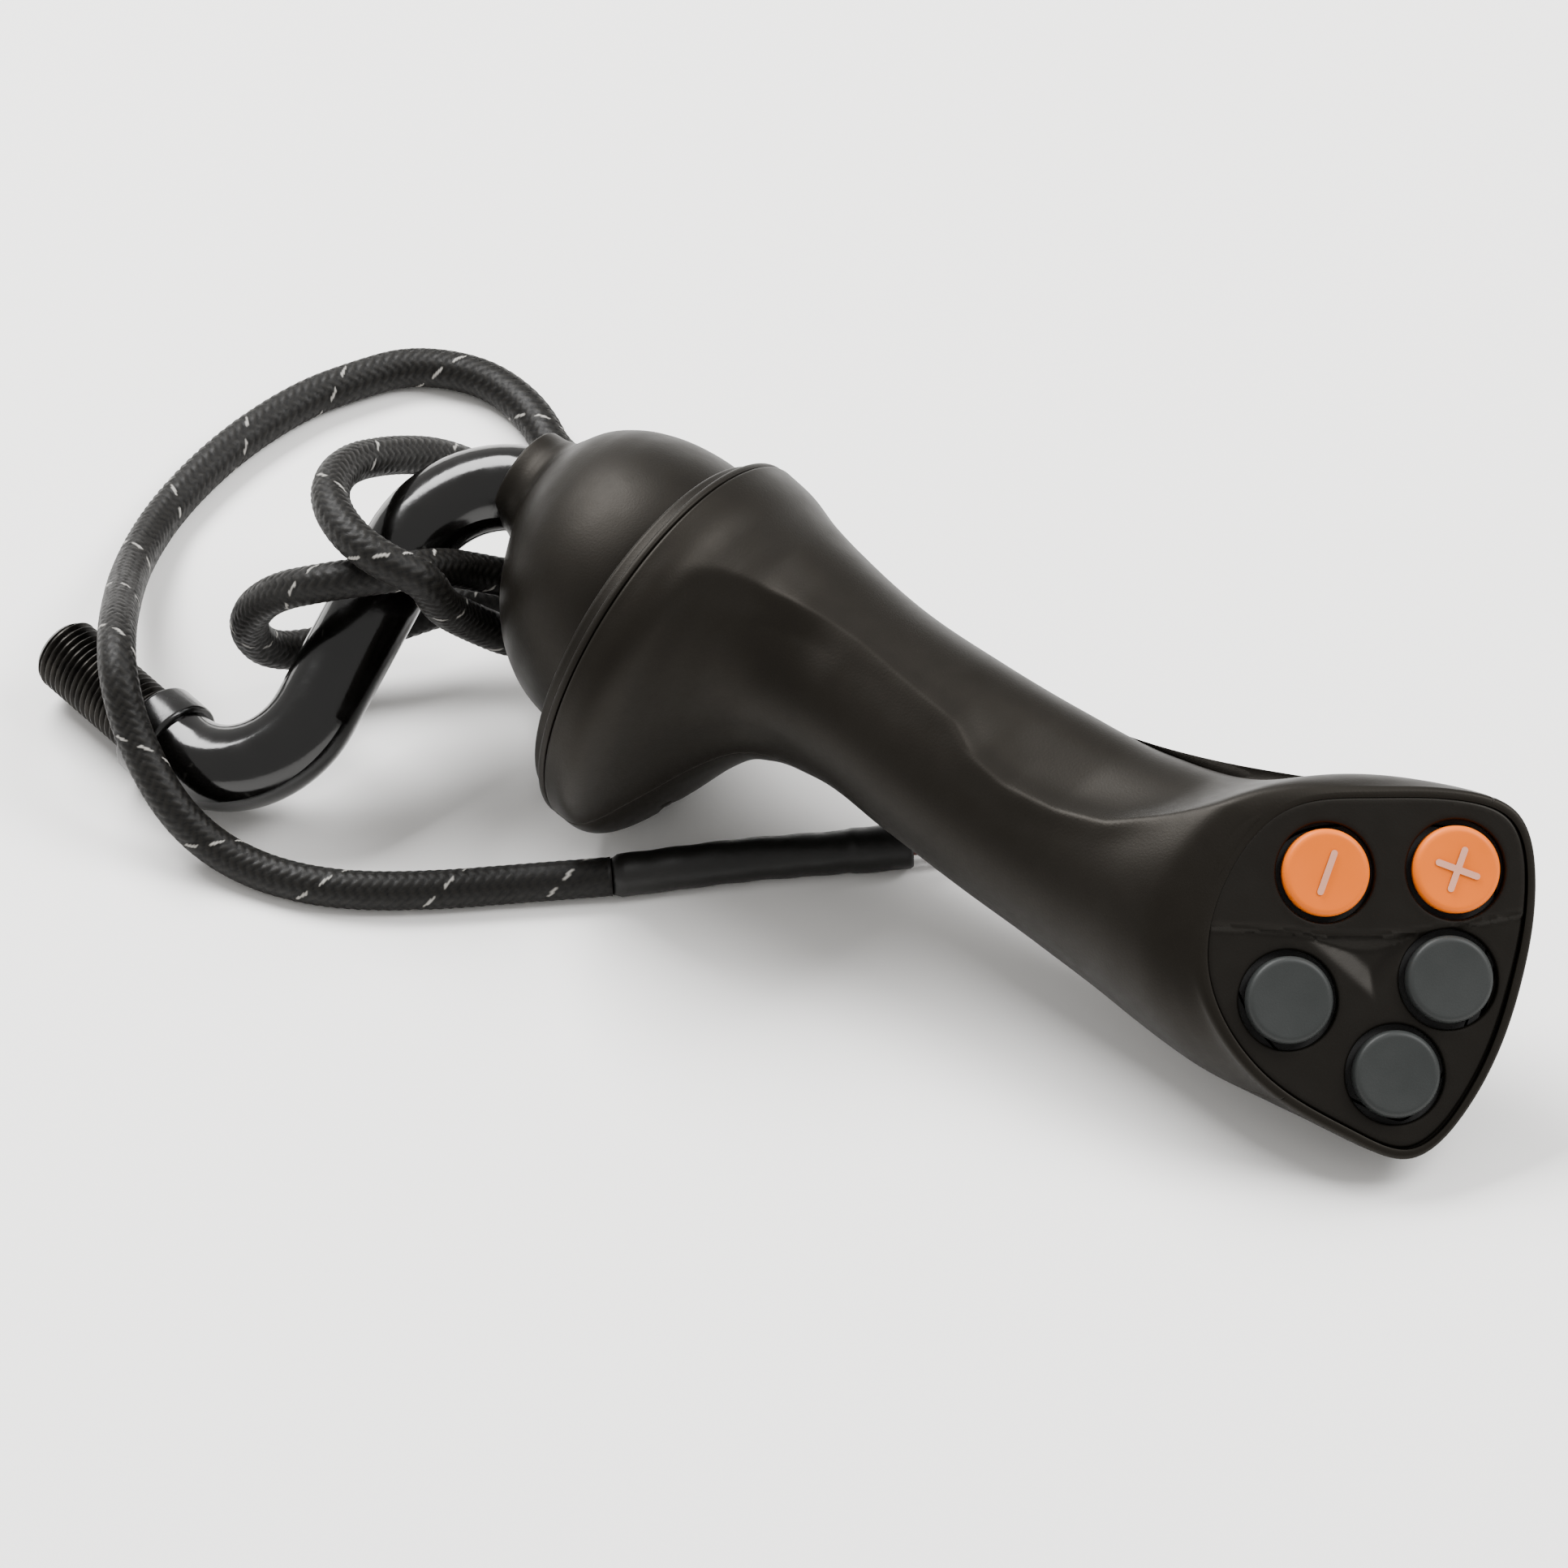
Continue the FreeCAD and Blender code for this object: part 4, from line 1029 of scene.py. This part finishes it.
def make_base_cap():
    """The domed cap and its collar, hollow, holed for the cable's grommet."""
    segments = 144
    depths = np.concatenate([
        np.linspace(4.3, 5.3, 8), np.linspace(5.6, 27, 60), np.linspace(27.2, 36.1, 60),
    ])
    rings = [cap_ring(depth, rounded(depth - 4.3, 0.9), segments) for depth in depths]
    for inset, depth in ((0.12, 36.3), (0.35, 36.45), (1.25, 36.5)):
        rings.append(cap_ring(depth, inset, segments))
    across = cap_ring(36.5, 1.25, segments) * (0, 1, 1)
    rings.append(cap_ring(31.0, 1.4, segments) * (1, 0, 0) + across)
    for depth in np.linspace(26.5, 4.3, 40):
        rings.append(cap_ring(depth, 2.4, segments))
    verts = np.concatenate(rings)
    faces = grid_faces(len(rings), segments, True)
    last = (len(rings) - 1) * segments
    for j in range(segments):
        after = (j + 1) % segments
        faces.append((last + j, last + after, after, j))
    cap = mesh_object("base_dome", carry(verts * MM, GRIP), faces)
    make_normals(cap)
    direction = OUTLET_DIRECTION.to_track_quat("Z", "Y").to_matrix().to_4x4()
    place = GRIP @ Matrix.Translation(OUTLET - OUTLET_DIRECTION * 0.006) @ direction
    bore = lathe("bore", [(0, 0), (4.42, 0), (4.42, 16), (0, 16)], place, 64)
    make_normals(bore)
    cap = boolean(cap, bore, "DIFFERENCE")
    cap.data.shade_smooth()
    cap.data.set_sharp_from_angle(angle=math.radians(40))
    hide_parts("base_cap")
    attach(cap, "grip")
    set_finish(cap, "base_plastic")


make_base_cap()


def make_flange():
    """The ring between the grip and the base cap: a thin lip, a step and the boss inside."""
    along = Matrix.Rotation(math.radians(-90), 4, "Y")
    place = GRIP @ Matrix.Translation((-0.15 * MM, 1.0 * MM, 0)) @ along
    profile = [(19.5, 0.0), (32.3, 0.0)]
    profile += corner((32.3, 0.5), 0.5, -90, 0, 5)[1:]
    profile += corner((32.1, 0.65), 0.7, 0, 80, 6)[1:]
    profile += [(31.2, 1.42), (30.9, 1.6), (30.8, 1.9)]
    profile += corner((30.0, 2.9), 0.8, 0, 85, 6)
    profile += [(28.0, 3.95), (27.0, 4.0), (19.5, 4.0)]
    ring = lathe("flange_disc", profile, place, 192)
    make_normals(ring)
    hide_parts("flange_ring")
    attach(ring, "grip")
    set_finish(ring, "base_plastic")


make_flange()

# ---------------------------------------------------------------- lever end

COLLAR_PLACE = Vector((-0.09713, 0.02813, 0.0080))
STUD_DIRECTION = Vector((-0.63634, 0.77141, 0.0))
COLLAR_LENGTH = 0.0065
THREAD_PITCH = 1.25


def make_stud():
    """The stud with its real helical thread."""
    length, segments, steps = 23.0, 96, 16
    rows = int(length / THREAD_PITCH * steps)
    height = np.linspace(0, length, rows)[:, None]
    angle = np.linspace(0, 2 * math.pi, segments, endpoint=False)[None, :]
    phase = (height / THREAD_PITCH - angle / (2 * math.pi)) % 1.0
    groove = np.clip(1.15 - np.abs(2 * phase - 1) * 1.35, 0, 1)
    taper = np.minimum(1.0, (length - height) / 1.2)
    runout = smoothstep(0.3, 1.6, height)
    radius = 5.98 - 0.72 * groove * runout
    radius = np.minimum(radius, 5.0 + 0.98 * taper)
    verts = np.stack([radius * np.cos(angle), radius * np.sin(angle), height + 0 * angle], axis=-1)
    verts = np.concatenate([verts.reshape(-1, 3), [(0, 0, 0), (0, 0, length)]])
    faces = grid_faces(rows, segments, True)
    low, high, last = rows * segments, rows * segments + 1, (rows - 1) * segments
    faces += [(low, (j + 1) % segments, j) for j in range(segments)]
    faces += [(high, last + j, last + (j + 1) % segments) for j in range(segments)]
    turn = STUD_DIRECTION.to_track_quat("Z", "Y").to_matrix().to_4x4()
    place = Matrix.Translation(COLLAR_PLACE + STUD_DIRECTION * COLLAR_LENGTH) @ turn
    stud = mesh_object("stud_thread", carry(verts * MM, place), faces)
    make_normals(stud)
    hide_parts("threaded_stud")
    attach(stud, "grip")
    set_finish(stud, "stud_steel")
    collar_profile = [(0, 0), (7.2, 0)] + corner((7.2, 0.8), 0.8, -90, 0)
    collar_profile = collar_profile + corner((7.2, 5.7), 0.8, 0, 90)
    collar_profile += [(6.2, 6.5), (0, 6.5)]
    collar = lathe("lever_collar", collar_profile, Matrix.Translation(COLLAR_PLACE) @ turn, 128)
    make_normals(collar)
    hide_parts("stud_collar")
    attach(collar, "grip")
    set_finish(collar, "collar_paint")


make_stud()

# ---------------------------------------------------------------- finishes

FINISHES = {
    "grip_plastic": worn(
        "grip_plastic", (0.0030, 0.0024, 0.0016), (0.0036, 0.0029, 0.0020), 0.44, 0.50,
        Specular_IOR_Level=0.17, Specular_Tint=(1.0, 0.92, 0.82, 1),
    ),
    "base_plastic": worn(
        "base_plastic", (0.0030, 0.0025, 0.0018), (0.0038, 0.0031, 0.0022), 0.46, 0.52,
        Specular_IOR_Level=0.17, Specular_Tint=(1.0, 0.92, 0.82, 1),
    ),
    "face_plastic": worn(
        "face_plastic", (0.0030, 0.0025, 0.0019), (0.0037, 0.0031, 0.0023),
        0.42, 0.48, 3200, 0.00003,
        Specular_IOR_Level=0.17, Specular_Tint=(1.0, 0.94, 0.86, 1),
    ),
    "lever_paint": worn(
        "lever_paint", (0.0012, 0.0011, 0.0010), (0.0020, 0.0018, 0.0016),
        0.10, 0.18, 700, 0.00003,
        Specular_IOR_Level=0.45,
    ),
    "collar_paint": worn(
        "collar_paint", (0.0014, 0.0013, 0.0012), (0.0024, 0.0022, 0.0020), 0.18, 0.30, 900,
        Specular_IOR_Level=0.45,
    ),
    "stud_steel": worn(
        "stud_steel", (0.010, 0.009, 0.008), (0.026, 0.024, 0.021), 0.28, 0.44, 1800, 0.00002, 300,
        metallic=0.8, Specular_IOR_Level=0.3,
    ),
    "socket_aluminium": worn(
        "socket_aluminium", (0.35, 0.36, 0.37), (0.46, 0.46, 0.47), 0.30, 0.42, metallic=1.0
    ),
    "screw_steel": worn(
        "screw_steel", (0.20, 0.20, 0.21), (0.32, 0.32, 0.33), 0.28, 0.40, metallic=1.0,
    ),
    "insert_brass": worn(
        "insert_brass", (0.50, 0.32, 0.10), (0.60, 0.40, 0.14), 0.28, 0.40, metallic=1.0,
    ),
    "seal_rubber": worn("seal_rubber", (0.003, 0.003, 0.003), (0.006, 0.006, 0.006), 0.65, 0.80),
    "board_laminate": worn(
        "board_laminate", (0.004, 0.030, 0.012), (0.008, 0.045, 0.018), 0.30, 0.42,
    ),
    "switch_plastic": worn(
        "switch_plastic", (0.006, 0.006, 0.007), (0.010, 0.010, 0.011), 0.35, 0.50,
    ),
    "orange_caps": worn(
        "orange_caps", (0.66, 0.125, 0.0002), (0.72, 0.140, 0.0002), 0.42, 0.50, 2600, 0.00002,
        Specular_IOR_Level=0.2,
    ),
    "grey_caps": worn(
        "grey_caps", (0.019, 0.021, 0.0205), (0.023, 0.025, 0.0245), 0.42, 0.52, 2600, 0.00003,
        Specular_IOR_Level=0.2,
    ),
    "mark_print": worn("mark_print", (0.52, 0.23, 0.15), (0.60, 0.28, 0.19), 0.45, 0.55),
    "plunger_plastic": worn("plunger_plastic", (0.25, 0.24, 0.22), (0.32, 0.31, 0.28), 0.40, 0.50),
    "harness_sheath": worn(
        "harness_sheath", (0.004, 0.004, 0.004), (0.007, 0.007, 0.007), 0.45, 0.60,
    ),
    "shrink_tube": worn(
        "shrink_tube", (0.0040, 0.0037, 0.0033), (0.0065, 0.0060, 0.0054),
        0.38, 0.52, 900, 0.00008, 120,
        Specular_IOR_Level=0.3,
    ),
    "green_insulation": worn(
        "green_insulation", (0.003, 0.055, 0.012), (0.005, 0.075, 0.018), 0.30, 0.42,
    ),
    "brown_insulation": worn(
        "brown_insulation", (0.10, 0.012, 0.004), (0.14, 0.018, 0.006), 0.30, 0.42,
    ),
    "white_insulation": worn(
        "white_insulation", (0.40, 0.39, 0.37), (0.50, 0.49, 0.46), 0.30, 0.42,
    ),
    "black_insulation": worn(
        "black_insulation", (0.003, 0.003, 0.003), (0.005, 0.005, 0.005), 0.30, 0.42,
    ),
    "ferrule_tin": worn(
        "ferrule_tin", (0.40, 0.40, 0.40), (0.50, 0.50, 0.49), 0.22, 0.34, metallic=1.0,
    ),
}


def braid_finish():
    """Black polyester braid with a pale tracer strand and painted shade in its gaps, from the
    values stored on the mesh.
    """
    material = new_material("cable_braid", (0.003, 0.003, 0.003), 0.5, Specular_IOR_Level=0.2)
    nodes, links = material.node_tree.nodes, material.node_tree.links
    yarn_shade = nodes.new("ShaderNodeAttribute")
    yarn_shade.attribute_name = "yarn_shade"
    tracer = nodes.new("ShaderNodeAttribute")
    tracer.attribute_name = "tracer"
    # Painted shade: the braid's low places, between the strands and where a strand dives under
    # another, are coloured darker than its tops.
    braid_gap_shading = [(0.2, (0.0004, 0.0003, 0.0002)), (0.95, (0.0050, 0.0043, 0.0033))]
    dark = ramp(material, yarn_shade.outputs["Fac"], braid_gap_shading)
    mix = nodes.new("ShaderNodeMix")
    mix.data_type = "RGBA"
    links.new(tracer.outputs["Fac"], mix.inputs["Factor"])
    links.new(dark, mix.inputs[6])
    mix.inputs[7].default_value = (0.28, 0.27, 0.25, 1)
    join_socket(material, mix.outputs[2], "Base Color")
    join_socket(material, spread(material, noise(material, 900), 0.45, 0.62), "Roughness")
    bump(material, noise(material, 5200, 2), 0.00006, 0.6)
    return material


FINISHES["cable_braid"] = braid_finish()


def paint(piece, slot):
    """Give a piece one finish."""
    piece.data.materials.clear()
    piece.data.materials.append(FINISHES[slot])


def paint_all():
    """Give every piece and every CAD node the finish of its slot."""
    slots = {part["node"]: part["material_slot"] for part in frame["record"]["subparts"]}
    for name, piece in frame["nodes"].items():
        paint(piece, slots[name])
    for piece in bpy.data.objects:
        if piece.type == "MESH" and "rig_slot" in piece:
            paint(piece, piece["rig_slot"])


paint_all()

# ---------------------------------------------------------------- floor and light


def make_floor():
    """The plain pale floor."""
    size = 4.0
    corners = [(-size, -size, 0), (size, -size, 0), (size, size, 0), (-size, size, 0)]
    floor = mesh_object("floor", corners, [(0, 1, 2, 3)], False)
    paint(floor, "floor")


FINISHES["floor"] = new_material("floor", (0.92, 0.91, 0.895), 0.6)
make_floor()


def area_light(name, place, aim, size, power, colour=(1, 1, 1)):
    """A soft rectangular light that points at a target."""
    data = bpy.data.lights.new(name, "AREA")
    data.shape = "RECTANGLE"
    data.size, data.size_y = size
    data.energy = power
    data.color = colour
    lamp = bpy.data.objects.new(name, data)
    lamp.location = place
    lamp.rotation_euler = (Vector(aim) - Vector(place)).to_track_quat("-Z", "Y").to_euler()
    bpy.context.scene.collection.objects.link(lamp)


world = bpy.data.worlds.new("studio")
world.use_nodes = True
world.node_tree.nodes["Background"].inputs["Color"].default_value = (1.0, 0.99, 0.97, 1)
world.node_tree.nodes["Background"].inputs["Strength"].default_value = 0.85
bpy.context.scene.world = world
area_light("key", (-0.7, 0.9, 1.4), (0, 0.03, 0), (1.2, 0.7), 80)
area_light("fill", (1.1, 0.1, 1.3), (0, 0.03, 0), (0.9, 0.9), 38)
